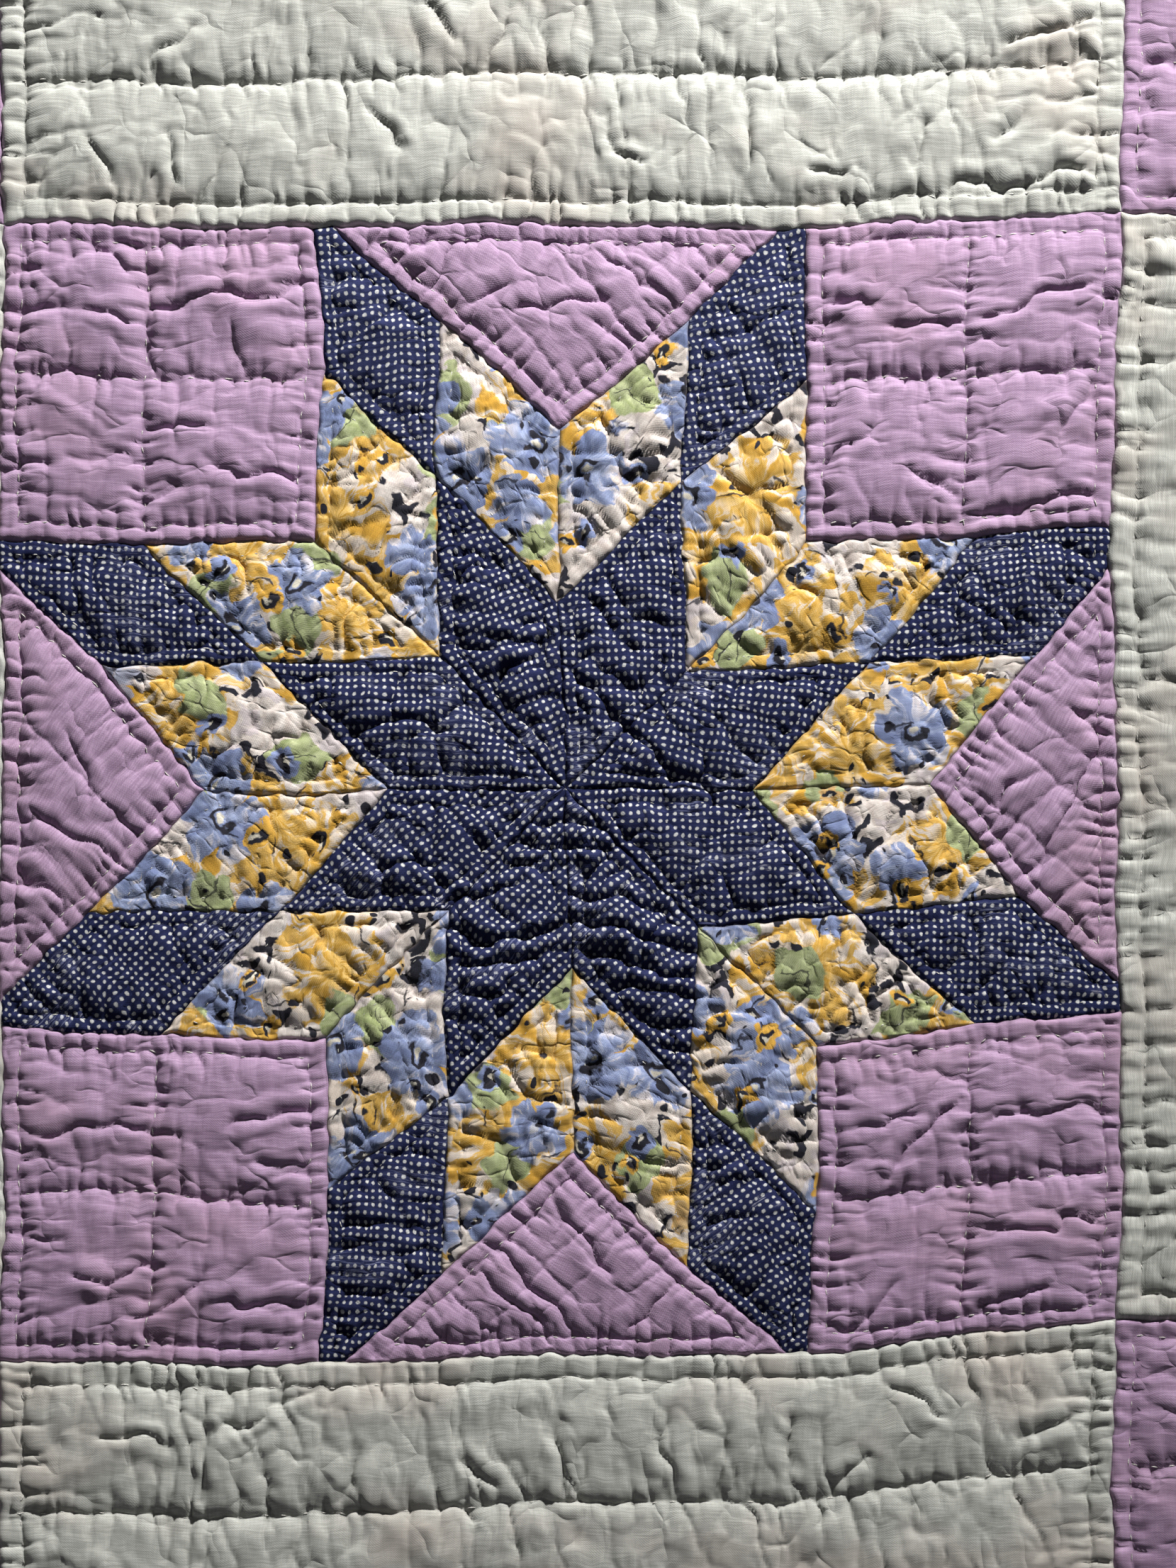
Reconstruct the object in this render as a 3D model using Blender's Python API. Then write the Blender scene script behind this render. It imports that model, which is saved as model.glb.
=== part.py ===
"""A cut length of an old hand-quilted patchwork quilt, lying flat on a table.

It holds one eight-pointed star block, pieced from small diamonds, four corner squares and four side triangles,
with the sashing and the four cornerstones around it. The quilt is one sheet, so it is one solid: its underside is
flat, and its top face holds the seams, the quilted lines, the puffs between them and the main folds.
Plan positions are in millimetres from the middle of the star, with Y towards the block's upper side.
"""

import math
import random

import bmesh
import bpy
from mathutils import Vector
from mathutils.geometry import delaunay_2d_cdt, intersect_point_line

MM = 0.001
SEED = 8

# Heights of the top face over the table, in millimetres
EDGE_Z = 1.3
SEAM_Z = 1.9
STITCH_Z = 1.4
LADDER_RISE = 1.1
FOLD_DEPTH = 0.62

# Plan spacings, in millimetres
PUFF_PITCH = 8.0
FILL_PITCH = 12.5
LINE_STEP = 7.0
WELD = 0.9
CLEAR = 3.6

# Each cloth: colour, roughness, distance from a seam to its quilted line, and rise of its cells over the stitches
CLOTHS = {
    "navy": ((0.020, 0.026, 0.085), 0.88, 3.8, 2.0),
    "print": ((0.520, 0.400, 0.210), 0.88, 3.8, 2.1),
    "lavender": ((0.330, 0.215, 0.360), 0.88, 4.8, 2.5),
    "sage": ((0.400, 0.430, 0.360), 0.88, 6.6, 2.7),
}

CENTRE = (0.0, 0.0)

# The middle of the quilt's box, measured from the middle of the star: it goes to the world's origin
BOX_MIDDLE = Vector((-1.0, 0.8))

# Seams from the middle of the star: direction, outer end, and the middle where four small diamonds meet
RAYS = (
    ("n", (-0.2, 102.0), (-1.2, 53.6)),
    ("ne", (69.8, 71.4), (34.8, 34.4)),
    ("e", (102.8, 2.0), (52.6, 1.2)),
    ("se", (72.4, -71.4), (38.8, -37.6)),
    ("s", (2.0, -102.8), (3.4, -50.8)),
    ("sw", (-67.0, -69.6), (-32.2, -34.2)),
    ("w", (-101.2, 0.2), (-49.6, 0.0)),
    ("nw", (-70.2, 71.8), (-34.6, 37.2)),
)

# Big diamonds, each between one seam above and the next: middle, first outer side's middle, the two corners of the
# blunt tip, and second outer side's middle
DIAMONDS = (
    ((34.0, 87.0), (35.2, 132.8), (60.0, 159.6), (67.6, 160.0), (68.8, 117.2)),
    ((86.8, 37.0), (117.4, 71.8), (155.8, 74.4), (154.8, 63.4), (133.2, 37.8)),
    ((82.8, -34.2), (130.0, -30.4), (157.6, -54.2), (157.8, -62.6), (116.6, -66.4)),
    ((36.2, -84.0), (70.6, -118.8), (69.0, -158.2), (63.4, -158.2), (34.8, -134.0)),
    ((-33.2, -86.8), (-34.6, -136.6), (-61.0, -161.4), (-68.2, -161.4), (-67.0, -112.6)),
    ((-79.8, -33.0), (-113.4, -68.6), (-158.8, -67.2), (-158.8, -60.4), (-133.4, -34.2)),
    ((-85.6, 37.2), (-131.8, 35.6), (-158.8, 61.8), (-158.8, 70.2), (-118.0, 70.2)),
    ((-35.4, 88.6), (-67.6, 119.4), (-70.6, 159.8), (-65.4, 160.0), (-35.6, 132.8)),
)

# Corners: the block's corner, the cornerstone's seam end on the upper or lower edge, the quilt's own corner, and
# the cornerstone's seam end on the left or right edge
CORNERS = {
    "ne": ((157.0, 162.8), (160.5, 248.0), (242.0, 249.0), (241.5, 164.0)),
    "se": ((156.8, -149.8), (155.0, -236.0), (241.0, -234.5), (241.0, -149.5)),
    "sw": ((-158.8, -161.2), (-159.5, -245.5), (-243.5, -246.5), (-243.5, -161.5)),
    "nw": ((-158.8, 160.0), (-158.0, 245.0), (-243.0, 244.5), (-243.5, 160.5)),
}

# Quilted lines that cross the squares, the sashes and the cornerstones
CROSSINGS = (
    ((-118.4, 156.0), (-118.0, 74.0)),
    ((-155.0, 117.6), (-71.0, 116.8)),
    ((113.2, 156.0), (114.4, 74.0)),
    ((73.2, 116.4), (113.4, 117.4), (151.8, 118.4)),
    ((-115.4, -74.6), (-116.2, -108.0), (-117.0, -157.6)),
    ((-154.8, -114.0), (-132.8, -112.2), (-98.8, -114.6), (-72.8, -116.0)),
    ((115.2, -72.2), (114.2, -112.6), (112.2, -148.0)),
    ((77.2, -114.6), (97.2, -112.6), (114.2, -111.4), (153.2, -107.0)),
    ((-155.0, 200.6), (-98.8, 200.4), (-38.8, 202.0), (41.2, 202.8), (101.2, 202.6), (155.0, 206.2)),
    ((-155.0, -204.2), (-58.8, -203.8), (6.0, -201.2), (61.2, -200.2), (101.2, -195.8), (152.0, -190.6)),
    ((199.8, 158.0), (198.6, 0.0), (198.2, -146.0)),
    ((-201.2, 156.0), (-202.0, 0.0), (-201.4, -157.0)),
    ((164.5, 206.2), (236.0, 206.8)),
    ((200.6, 242.0), (200.4, 168.0)),
    ((160.5, -190.8), (235.0, -192.0)),
    ((198.2, -154.5), (198.0, -229.5)),
    ((-163.5, -204.0), (-238.0, -203.6)),
    ((-201.2, -166.0), (-201.4, -240.5)),
    ((-163.0, 202.0), (-238.0, 202.4)),
    ((-201.2, 165.0), (-200.6, 239.5)),
)

# Main folds that the cloth has settled into, each as one straight groove from end to end
FOLDS = (
    ((-136.8, 134.8), (-121.5, 133.0)),
    ((-115.0, 136.6), (-92.0, 140.5)),
    ((-115.0, 102.4), (-98.8, 103.4)),
    ((-96.0, 90.5), (-75.0, 88.8)),
    ((-152.5, 91.0), (-138.0, 92.4)),
    ((77.2, 133.4), (90.0, 131.6)),
    ((117.0, 133.6), (146.0, 141.4)),
    ((79.0, 95.4), (88.0, 99.6)),
    ((99.2, 90.4), (110.5, 85.0)),
    ((119.0, 87.0), (145.0, 84.4)),
    ((141.2, 101.4), (146.8, 111.0)),
    ((-148.8, -97.6), (-134.8, -95.0)),
    ((-93.8, -93.2), (-77.0, -90.0)),
    ((-136.8, -136.2), (-122.0, -136.0)),
    ((-113.0, -147.0), (-99.0, -136.6)),
    ((-96.0, -138.5), (-76.0, -139.8)),
    ((89.2, -106.0), (108.0, -90.6)),
    ((119.0, -95.0), (146.0, -88.6)),
    ((118.0, -138.0), (139.0, -134.8)),
    ((81.2, -136.0), (93.6, -131.6)),
    ((118.2, -123.6), (146.0, -121.6)),
    ((-34.0, 140.6), (-29.4, 148.4)),
    ((-22.6, 136.0), (-9.4, 142.6)),
    ((-10.4, 130.8), (12.6, 133.6)),
    ((10.6, 150.0), (26.4, 140.0)),
    ((-16.2, -130.4), (0.8, -146.0)),
    ((-22.0, -138.8), (-12.2, -149.8)),
    ((2.0, -120.2), (16.2, -137.4)),
    ((33.2, -141.8), (24.4, -150.6)),
    ((150.6, 10.4), (134.6, -14.6)),
    ((127.2, 5.4), (116.6, -2.6)),
    ((141.2, 24.4), (151.2, 17.4)),
    ((-148.8, -7.6), (-128.8, -18.0)),
    ((-152.8, 8.4), (-140.8, 5.0)),
    ((-150.8, -22.6), (-142.0, -31.0)),
    ((-140.8, 19.4), (-129.8, 7.4)),
    ((-118.8, 207.4), (-100.8, 219.4)),
    ((-18.8, 207.4), (-12.8, 221.4)),
    ((-108.8, 173.4), (-110.8, 189.4)),
    ((-30.8, 211.4), (-38.8, 223.4)),
    ((17.2, 173.4), (13.2, 191.4)),
    ((51.2, 174.4), (54.2, 193.4)),
    ((99.2, 175.4), (103.2, 189.4)),
    ((112.2, 175.4), (147.2, 180.0)),
    ((125.2, 211.4), (149.2, 219.4)),
    ((-46.8, 177.4), (-52.8, 193.4)),
    ((-134.8, 187.4), (-126.8, 172.4)),
    ((-100.8, -172.6), (-101.6, -196.6)),
    ((-92.8, -180.6), (-76.8, -172.6)),
    ((-62.8, -196.6), (-56.8, -180.6)),
    ((-0.8, -174.6), (1.2, -194.6)),
    ((30.2, -172.6), (31.2, -192.6)),
    ((65.2, -172.6), (66.2, -188.6)),
    ((93.2, -168.6), (109.2, -176.6)),
    ((145.2, -162.6), (145.2, -182.6)),
    ((-134.8, -182.6), (-112.8, -183.6)),
    ((83.2, -186.6), (76.2, -192.6)),
    ((121.2, -184.6), (133.2, -174.6)),
)


def area(polygon):
    """The polygon's signed area, positive where its points run anticlockwise."""
    total = 0.0
    for (ax, ay), (bx, by) in zip(polygon, polygon[1:] + polygon[:1]):
        total += ax * by - bx * ay
    return total / 2


def anticlockwise(polygon):
    points = [Vector(point) for point in polygon]
    if area(points) < 0:
        points.reverse()
    return points


def patches():
    """Every patch of cloth, as its kind and its outline in anticlockwise order."""
    found = []
    for index, (middle, side_a, tip_a, tip_b, side_b) in enumerate(DIAMONDS):
        name, end_a, half_a = RAYS[index]
        _, end_b, half_b = RAYS[(index + 1) % len(RAYS)]
        found.append(("navy", (CENTRE, half_a, middle, half_b)))
        found.append(("print", (half_a, end_a, side_a, middle)))
        found.append(("print", (half_b, middle, side_b, end_b)))
        found.append(("navy", (middle, side_a, tip_a, tip_b, side_b)))
        # The lavender patch that fills the gap at this diamond's first seam
        _, _, _, last_tip, last_side = DIAMONDS[index - 1]
        block_corner = CORNERS[name][:1] if name in CORNERS else ()
        found.append(("lavender", (end_a, last_side, last_tip, *block_corner, tip_a, side_a)))
    for index, name in enumerate(("nw", "ne", "se", "sw")):
        corner, level_seam, own_corner, upright_seam = CORNERS[name]
        found.append(("lavender", (corner, level_seam, own_corner, upright_seam)))
        # The sash that follows this corner clockwise lies along the tips of two big diamonds
        before = DIAMONDS[2 * index - 1]
        after = DIAMONDS[2 * index]
        next_corner, next_level, _, next_upright = CORNERS[("ne", "se", "sw", "nw")[index]]
        outer = (next_level, level_seam) if index % 2 == 0 else (next_upright, upright_seam)
        inner = (corner, before[2], before[3], after[2], after[3], next_corner)
        found.append(("sage", (*inner, *outer)))
    return [(kind, anticlockwise(outline)) for kind, outline in found]


def edge_frames(polygon):
    """Each edge of an anticlockwise polygon as its start, its end and its normal into the polygon."""
    frames = []
    for start, end in zip(polygon, polygon[1:] + polygon[:1]):
        along = (end - start).normalized()
        frames.append((start, end, Vector((-along.y, along.x))))
    return frames


def inset(polygon, distance):
    """The polygon with each side moved inwards: each corner goes to where its two moved sides meet."""
    frames = edge_frames(polygon)
    moved = []
    for (_, _, before), (corner, _, after) in zip(frames[-1:] + frames[:-1], frames):
        moved.append(corner + (before + after) * distance / (1 + before.dot(after)))
    return moved


def distance_to_line(point, line):
    """Distance from a point to the nearest of a line's straight stretches."""
    nearest = math.inf
    for start, end in zip(line, line[1:]):
        foot, share = intersect_point_line(point, Vector(start), Vector(end))
        foot = Vector(start).lerp(Vector(end), min(max(share, 0.0), 1.0))
        nearest = min(nearest, (point - foot).length)
    return nearest


def depth_in(point, frames):
    """How deep a point lies inside a polygon, negative outside it."""
    inside = False
    nearest = math.inf
    for start, end, _ in frames:
        nearest = min(nearest, distance_to_line(point, (start, end)))
        if (start.y > point.y) != (end.y > point.y):
            share = (point.y - start.y) / (end.y - start.y)
            inside ^= point.x < start.x + share * (end.x - start.x)
    return nearest if inside else -nearest


class Net:
    """Plan points with their heights, and the lines that the triangles of the top face have to follow."""

    def __init__(self):
        self.points = []
        self.heights = []
        self.edges = []
        self.cells = {}

    def add(self, point, height):
        """The index of the point, or of one already within the weld distance."""
        column, row = int(point.x // WELD), int(point.y // WELD)
        for i in (-1, 0, 1):
            for j in (-1, 0, 1):
                for index in self.cells.get((column + i, row + j), ()):
                    if (self.points[index] - point).length < WELD:
                        return index
        self.cells.setdefault((column, row), []).append(len(self.points))
        self.points.append(point)
        self.heights.append(height)
        return len(self.points) - 1

    def line(self, stations):
        """A line through stations, each a point and its height."""
        indices = [self.add(point, height) for point, height in stations]
        for first, second in zip(indices, indices[1:]):
            if first != second:
                self.edges.append((first, second))


def stations_between(start, end, step, height):
    """Evenly spaced points from start to end, each with the height that the function gives for its share."""
    count = max(1, round((end - start).length / step))
    return [(start.lerp(end, i / count), height(i / count)) for i in range(count + 1)]


def wave(point):
    """A slow unevenness between -1 and 1 over the quilt."""
    x, y = point
    return 0.5 * math.sin(x / 23 + 1.3 * math.sin(y / 37)) + 0.5 * math.sin(y / 19 + 1.7 * math.sin(x / 41) + 2.0)


def draw_patch(net, kind, outline, rng):
    """Adds a patch's seams, its quilted line, and the ladder of small puffs between the two."""
    _, _, offset, _ = CLOTHS[kind]
    frames = edge_frames(outline)
    inner = inset(outline, offset)
    inner_frames = edge_frames(inner)
    for start, end, _ in frames:
        net.line(stations_between(start, end, PUFF_PITCH, lambda share: SEAM_Z))
    # The quilted line gets a point at each rung, so that the rung meets it
    rungs = []
    for start, end, normal in frames:
        stations = stations_between(start, end, PUFF_PITCH, lambda share: SEAM_Z)
        for index, (point, _) in enumerate(stations):
            foot = point + normal * offset
            if depth_in(foot, frames) > offset - 0.05:
                rungs.append((point, foot))
            if index == 0:
                continue
            crest = point.lerp(stations[index - 1][0], 0.5) + normal * offset * 0.5
            if depth_in(crest, frames) > offset * 0.42:
                net.add(crest, STITCH_Z + LADDER_RISE * rng.uniform(0.75, 1.25))
    for start, end, _ in inner_frames:
        along = [start, end]
        for _, foot in rungs:
            if distance_to_line(foot, (start, end)) < 0.1:
                along.append(foot)
        along.sort(key=lambda point: (point - start).length)
        net.line([(point, STITCH_Z) for point in along])
    for point, foot in rungs:
        net.line([(point, SEAM_Z), (foot, STITCH_Z)])
    return inner_frames


def fill_cell(net, kind, frames, lines, rng):
    """Adds the soft middle of a patch: points that rise away from every stitched line, kept clear of the folds."""
    _, _, _, rise = CLOTHS[kind]
    left = min(start.x for start, _, _ in frames)
    right = max(start.x for start, _, _ in frames)
    low = min(start.y for start, _, _ in frames)
    high = max(start.y for start, _, _ in frames)
    near = [line for line in lines if any(depth_in(Vector(p), frames) > -4 for p in line)]
    rows = int((high - low) / (FILL_PITCH * 0.866)) + 1
    columns = int((right - left) / FILL_PITCH) + 2
    for row in range(rows + 1):
        for column in range(columns):
            x = left + (column + 0.5 * (row % 2)) * FILL_PITCH + rng.uniform(-1.6, 1.6)
            y = low + row * FILL_PITCH * 0.866 + rng.uniform(-1.6, 1.6)
            point = Vector((x, y))
            depth = depth_in(point, frames)
            if depth < CLEAR or any(distance_to_line(point, line) < CLEAR for line in near):
                continue
            stitched = [distance_to_line(point, line) for line in near if line in CROSSINGS]
            depth = min([depth, *stitched])
            swell = rise * (1 - math.exp(-depth / 5.5)) * (1 + 0.16 * wave(point))
            net.add(point, STITCH_Z + swell * rng.uniform(0.88, 1.1))


def groove(net, start, end):
    """Adds a fold: low along its middle and fading towards both ends."""
    start, end = Vector(start), Vector(end)
    crest = STITCH_Z + 2.0

    def height(share):
        return crest - 2.0 * FOLD_DEPTH * math.sin(math.pi * (0.15 + 0.7 * share))

    net.line(stations_between(start, end, LINE_STEP, height))


def surface_net():
    """The net of the whole top face, and every patch."""
    rng = random.Random(SEED)
    net = Net()
    pieces = patches()
    cells = [(kind, draw_patch(net, kind, outline, rng)) for kind, outline in pieces]
    for crossing in CROSSINGS:
        for start, end in zip(crossing, crossing[1:]):
            net.line(stations_between(Vector(start), Vector(end), LINE_STEP, lambda share: STITCH_Z))
    for start, end in FOLDS:
        groove(net, start, end)
    lines = CROSSINGS + FOLDS
    for kind, frames in cells:
        fill_cell(net, kind, frames, lines, rng)
    return net, pieces


def warped(point):
    """The plan point moved by the small waves that hand cutting and washing leave in a quilt's lines."""
    x, y = point
    return Vector((
        x + 0.7 * math.sin(y / 21 + 0.6) + 0.4 * math.sin(y / 8.5 + x / 60),
        y + 0.7 * math.sin(x / 24 + 2.1) + 0.4 * math.sin(x / 9.2 - y / 70),
    ))


def cloth_material(kind):
    colour, roughness, _, _ = CLOTHS[kind]
    material = bpy.data.materials.new(kind + " cotton")
    material.use_nodes = True
    shader = material.node_tree.nodes["Principled BSDF"]
    shader.inputs["Base Color"].default_value = (*colour, 1.0)
    shader.inputs["Roughness"].default_value = roughness
    shader.inputs["Metallic"].default_value = 0.0
    material.diffuse_color = (*colour, 1.0)
    return material


def quilt_mesh():
    """The closed mesh of the quilt, with one material slot for each kind of cloth."""
    net, pieces = surface_net()
    points, _, faces, origins, _, _ = delaunay_2d_cdt(net.points, net.edges, [], 1, 1e-4)
    kinds = list(CLOTHS)
    frames = [(kinds.index(kind), edge_frames(outline)) for kind, outline in pieces]

    shape = bmesh.new()
    sheet = [shape.verts.new((point.x, point.y, 0.0)) for point in points]
    heights = {}
    for vert, origin in zip(sheet, origins):
        heights[vert.co.to_tuple(3)] = net.heights[origin[0]] if origin else STITCH_Z
    for face in faces:
        new = shape.faces.new([sheet[index] for index in face])
        middle = new.calc_center_median().xy
        depths = [(depth_in(middle, frame), slot) for slot, frame in frames]
        new.material_index = max(depths)[1]

    # Raising a copy of the flat sheet leaves the sheet as the underside, with a wall around the edge
    underside = list(shape.faces)
    raised = bmesh.ops.extrude_face_region(shape, geom=underside)["geom"]
    for vert in [item for item in raised if isinstance(item, bmesh.types.BMVert)]:
        vert.co.z = heights[vert.co.to_tuple(3)]
    bmesh.ops.recalc_face_normals(shape, faces=shape.faces)
    underside = [face for face in shape.faces if all(vert.co.z < 1e-6 for vert in face.verts)]
    one_face = bmesh.ops.dissolve_faces(shape, faces=underside)["region"]
    bmesh.ops.poke(shape, faces=one_face)

    # The outer edge lies lower than a seam, because nothing is sewn on beyond it
    for vert in shape.verts:
        rim = any(abs(edge.calc_face_angle(0.0)) > 1.2 for edge in vert.link_edges)
        if rim and vert.co.z > 0.5:
            vert.co.z = EDGE_Z
    for vert in shape.verts:
        vert.co.xy = warped(vert.co.xy) - BOX_MIDDLE
    bmesh.ops.scale(shape, vec=(MM, MM, MM), verts=shape.verts)

    mesh = bpy.data.meshes.new("quilt")
    shape.to_mesh(mesh)
    shape.free()
    for kind in kinds:
        mesh.materials.append(cloth_material(kind))
    return mesh


def main():
    for item in list(bpy.data.objects):
        bpy.data.objects.remove(item, do_unlink=True)
    collection = bpy.data.collections.new("star quilt block")
    bpy.context.scene.collection.children.link(collection)
    quilt = bpy.data.objects.new("quilt", quilt_mesh())
    collection.objects.link(quilt)


main()
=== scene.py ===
"""A cut length of an old hand-quilted patchwork quilt, lying flat: an eight-pointed star block with sashing.

Plan positions in tables are millimetres from the star's middle, with Y towards the block's upper side.
"""

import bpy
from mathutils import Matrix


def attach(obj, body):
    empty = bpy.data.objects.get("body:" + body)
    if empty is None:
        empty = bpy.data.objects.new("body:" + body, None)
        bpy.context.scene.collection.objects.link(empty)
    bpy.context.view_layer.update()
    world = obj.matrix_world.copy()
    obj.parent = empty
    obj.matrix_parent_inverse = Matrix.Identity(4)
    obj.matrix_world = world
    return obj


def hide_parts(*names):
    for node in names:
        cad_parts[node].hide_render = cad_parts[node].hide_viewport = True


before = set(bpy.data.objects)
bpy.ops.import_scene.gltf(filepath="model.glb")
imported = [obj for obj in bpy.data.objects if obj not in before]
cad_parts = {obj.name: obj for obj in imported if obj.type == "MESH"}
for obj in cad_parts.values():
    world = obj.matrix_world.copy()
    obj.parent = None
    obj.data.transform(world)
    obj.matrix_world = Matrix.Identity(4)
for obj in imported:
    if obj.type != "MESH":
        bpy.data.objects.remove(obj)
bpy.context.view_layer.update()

import math

import bpy
import numpy as np

scene = bpy.context.scene

# Camera and studio light.
# The camera looks straight down on the star, as in the photograph. A low window of light rakes the cloth from
# its upper side, and a weak soft box overhead opens the shadows.
VIEW_MIDDLE = (0.0081, 0.0014)
VIEW_HEIGHT = 0.003
VIEW_LENGTH = 0.4424
scene.view_settings.view_transform = "Standard"
camera = bpy.data.objects.new("camera", bpy.data.cameras.new("camera"))
camera.data.lens = 70
camera.data.sensor_width = 36
camera.data.clip_end = 20
above = VIEW_LENGTH * camera.data.lens / camera.data.sensor_width
camera.location = (*VIEW_MIDDLE, VIEW_HEIGHT + above)
scene.collection.objects.link(camera)
scene.camera = camera


def soft_light(name, place, target, width, height, watts, colour, spread):
    """A flat light at place, turned to shine at target, with a grid that keeps it within spread degrees."""
    data = bpy.data.lights.new(name, "AREA")
    data.shape = "RECTANGLE"
    data.size = width
    data.size_y = height
    data.energy = watts
    data.color = colour
    data.spread = math.radians(spread)
    lamp = bpy.data.objects.new(name, data)
    lamp.location = place
    aim = lamp.location.copy()
    aim.x = target[0] - place[0]
    aim.y = target[1] - place[1]
    aim.z = target[2] - place[2]
    lamp.rotation_mode = "QUATERNION"
    lamp.rotation_quaternion = aim.to_track_quat("-Z", "Y")
    scene.collection.objects.link(lamp)


soft_light("window_light", place=(0.55, 1.51, 0.64), target=(0.11, 0.41, 0.0), width=0.174, height=0.087,
           watts=5.78, colour=(1.0, 0.985, 0.962), spread=50)
soft_light("fill_light", place=(0.0, -0.1, 1.6), target=(0.0, 0.0, 0.0), width=1.6, height=1.6,
           watts=1.35, colour=(0.93, 0.95, 1.0), spread=180)
scene.world = bpy.data.worlds.new("studio")
scene.world.use_nodes = True
sky = scene.world.node_tree
sky.nodes["Background"].inputs["Color"].default_value = (0.90, 0.94, 1.0, 1)
# Dim overhead and paler towards the horizon
direction = sky.nodes.new("ShaderNodeTexCoord")
upward = sky.nodes.new("ShaderNodeSeparateXYZ")
dimming = sky.nodes.new("ShaderNodeMapRange")
for key, value in (("From Min", 0.0), ("From Max", 0.25), ("To Min", 0.32), ("To Max", 0.014)):
    dimming.inputs[key].default_value = value
sky.links.new(direction.outputs["Generated"], upward.inputs[0])
sky.links.new(upward.outputs["Z"], dimming.inputs["Value"])
sky.links.new(dimming.outputs[0], sky.nodes["Background"].inputs["Strength"])


# The back and the quilting.
# The real quilt is three layers, a pieced top, a thin cotton batting and a plain back, held by running
# stitches inside the seams and across the squares. Washing shrank it, so that the cloth puckers between them.
BOX_MIDDLE = np.array([-1.0, 0.8])

# Heights over the table in millimetres, then how deep the main folds are cut, how far the cloth is drawn down
# its slopes, and how far up the block with its height
EDGE_Z = 1.3
SEAM_Z = 1.75
STITCH_Z = 1.4
LOWEST_Z = 0.95
HIGHEST_Z = 5.2
FOLD_CUT = 1.7
DRAWN_DOWNHILL = 0.36
SMOOTHED_UP = 0.42

# Seams from the middle of the star: outer end, and the middle where four small diamonds meet
RAYS = {
    "n": ((-0.2, 102.0), (-1.2, 53.6)),
    "ne": ((69.8, 71.4), (34.8, 34.4)),
    "e": ((102.8, 2.0), (52.6, 1.2)),
    "se": ((72.4, -71.4), (38.8, -37.6)),
    "s": ((2.0, -102.8), (3.4, -50.8)),
    "sw": ((-67.0, -69.6), (-32.2, -34.2)),
    "w": ((-101.2, 0.2), (-49.6, 0.0)),
    "nw": ((-70.2, 71.8), (-34.6, 37.2)),
}

# Big diamonds, each between one seam above and the next: middle, first outer side's middle, the two corners
# of the blunt tip, and second outer side's middle
DIAMONDS = (
    ((34.0, 87.0), (35.2, 132.8), (60.0, 159.6), (67.6, 160.0), (68.8, 117.2)),
    ((86.8, 37.0), (117.4, 71.8), (155.8, 74.4), (154.8, 63.4), (133.2, 37.8)),
    ((82.8, -34.2), (130.0, -30.4), (157.6, -54.2), (157.8, -62.6), (116.6, -66.4)),
    ((36.2, -84.0), (70.6, -118.8), (69.0, -158.2), (63.4, -158.2), (34.8, -134.0)),
    ((-33.2, -86.8), (-34.6, -136.6), (-61.0, -161.4), (-68.2, -161.4), (-67.0, -112.6)),
    ((-79.8, -33.0), (-113.4, -68.6), (-158.8, -67.2), (-158.8, -60.4), (-133.4, -34.2)),
    ((-85.6, 37.2), (-131.8, 35.6), (-158.8, 61.8), (-158.8, 70.2), (-118.0, 70.2)),
    ((-35.4, 88.6), (-67.6, 119.4), (-70.6, 159.8), (-65.4, 160.0), (-35.6, 132.8)),
)

# Corners: the block's corner, the cornerstone's seam end on the upper or lower edge, the quilt's own corner,
# and the cornerstone's seam end on the left or right edge
CORNERS = {
    "ne": ((157.0, 162.8), (160.5, 248.0), (242.0, 249.0), (241.5, 164.0)),
    "se": ((156.8, -149.8), (155.0, -236.0), (241.0, -234.5), (241.0, -149.5)),
    "sw": ((-158.8, -161.2), (-159.5, -245.5), (-243.5, -246.5), (-243.5, -161.5)),
    "nw": ((-158.8, 160.0), (-158.0, 245.0), (-243.0, 244.5), (-243.5, 160.5)),
}

# Quilted lines that cross the squares, the sashes and the cornerstones
CROSSINGS = (
    ((-118.4, 156.0), (-118.0, 74.0)),
    ((-155.0, 117.6), (-71.0, 116.8)),
    ((113.2, 156.0), (114.4, 74.0)),
    ((73.2, 116.4), (113.4, 117.4), (151.8, 118.4)),
    ((-115.4, -74.6), (-116.2, -108.0), (-117.0, -157.6)),
    ((-154.8, -114.0), (-132.8, -112.2), (-98.8, -114.6), (-72.8, -116.0)),
    ((115.2, -72.2), (114.2, -112.6), (112.2, -148.0)),
    ((77.2, -114.6), (97.2, -112.6), (114.2, -111.4), (153.2, -107.0)),
    ((-155.0, 200.6), (-98.8, 200.4), (-38.8, 202.0), (41.2, 202.8), (101.2, 202.6), (155.0, 206.2)),
    ((-155.0, -204.2), (-58.8, -203.8), (6.0, -201.2), (61.2, -200.2), (101.2, -195.8), (152.0, -190.6)),
    ((199.8, 158.0), (198.6, 0.0), (198.2, -146.0)),
    ((-201.2, 156.0), (-202.0, 0.0), (-201.4, -157.0)),
    ((164.5, 206.2), (236.0, 206.8)),
    ((200.6, 242.0), (200.4, 168.0)),
    ((160.5, -190.8), (235.0, -192.0)),
    ((198.2, -154.5), (198.0, -229.5)),
    ((-163.5, -204.0), (-238.0, -203.6)),
    ((-201.2, -166.0), (-201.4, -240.5)),
    ((-163.0, 202.0), (-238.0, 202.4)),
    ((-201.2, 165.0), (-200.6, 239.5)),
)

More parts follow.
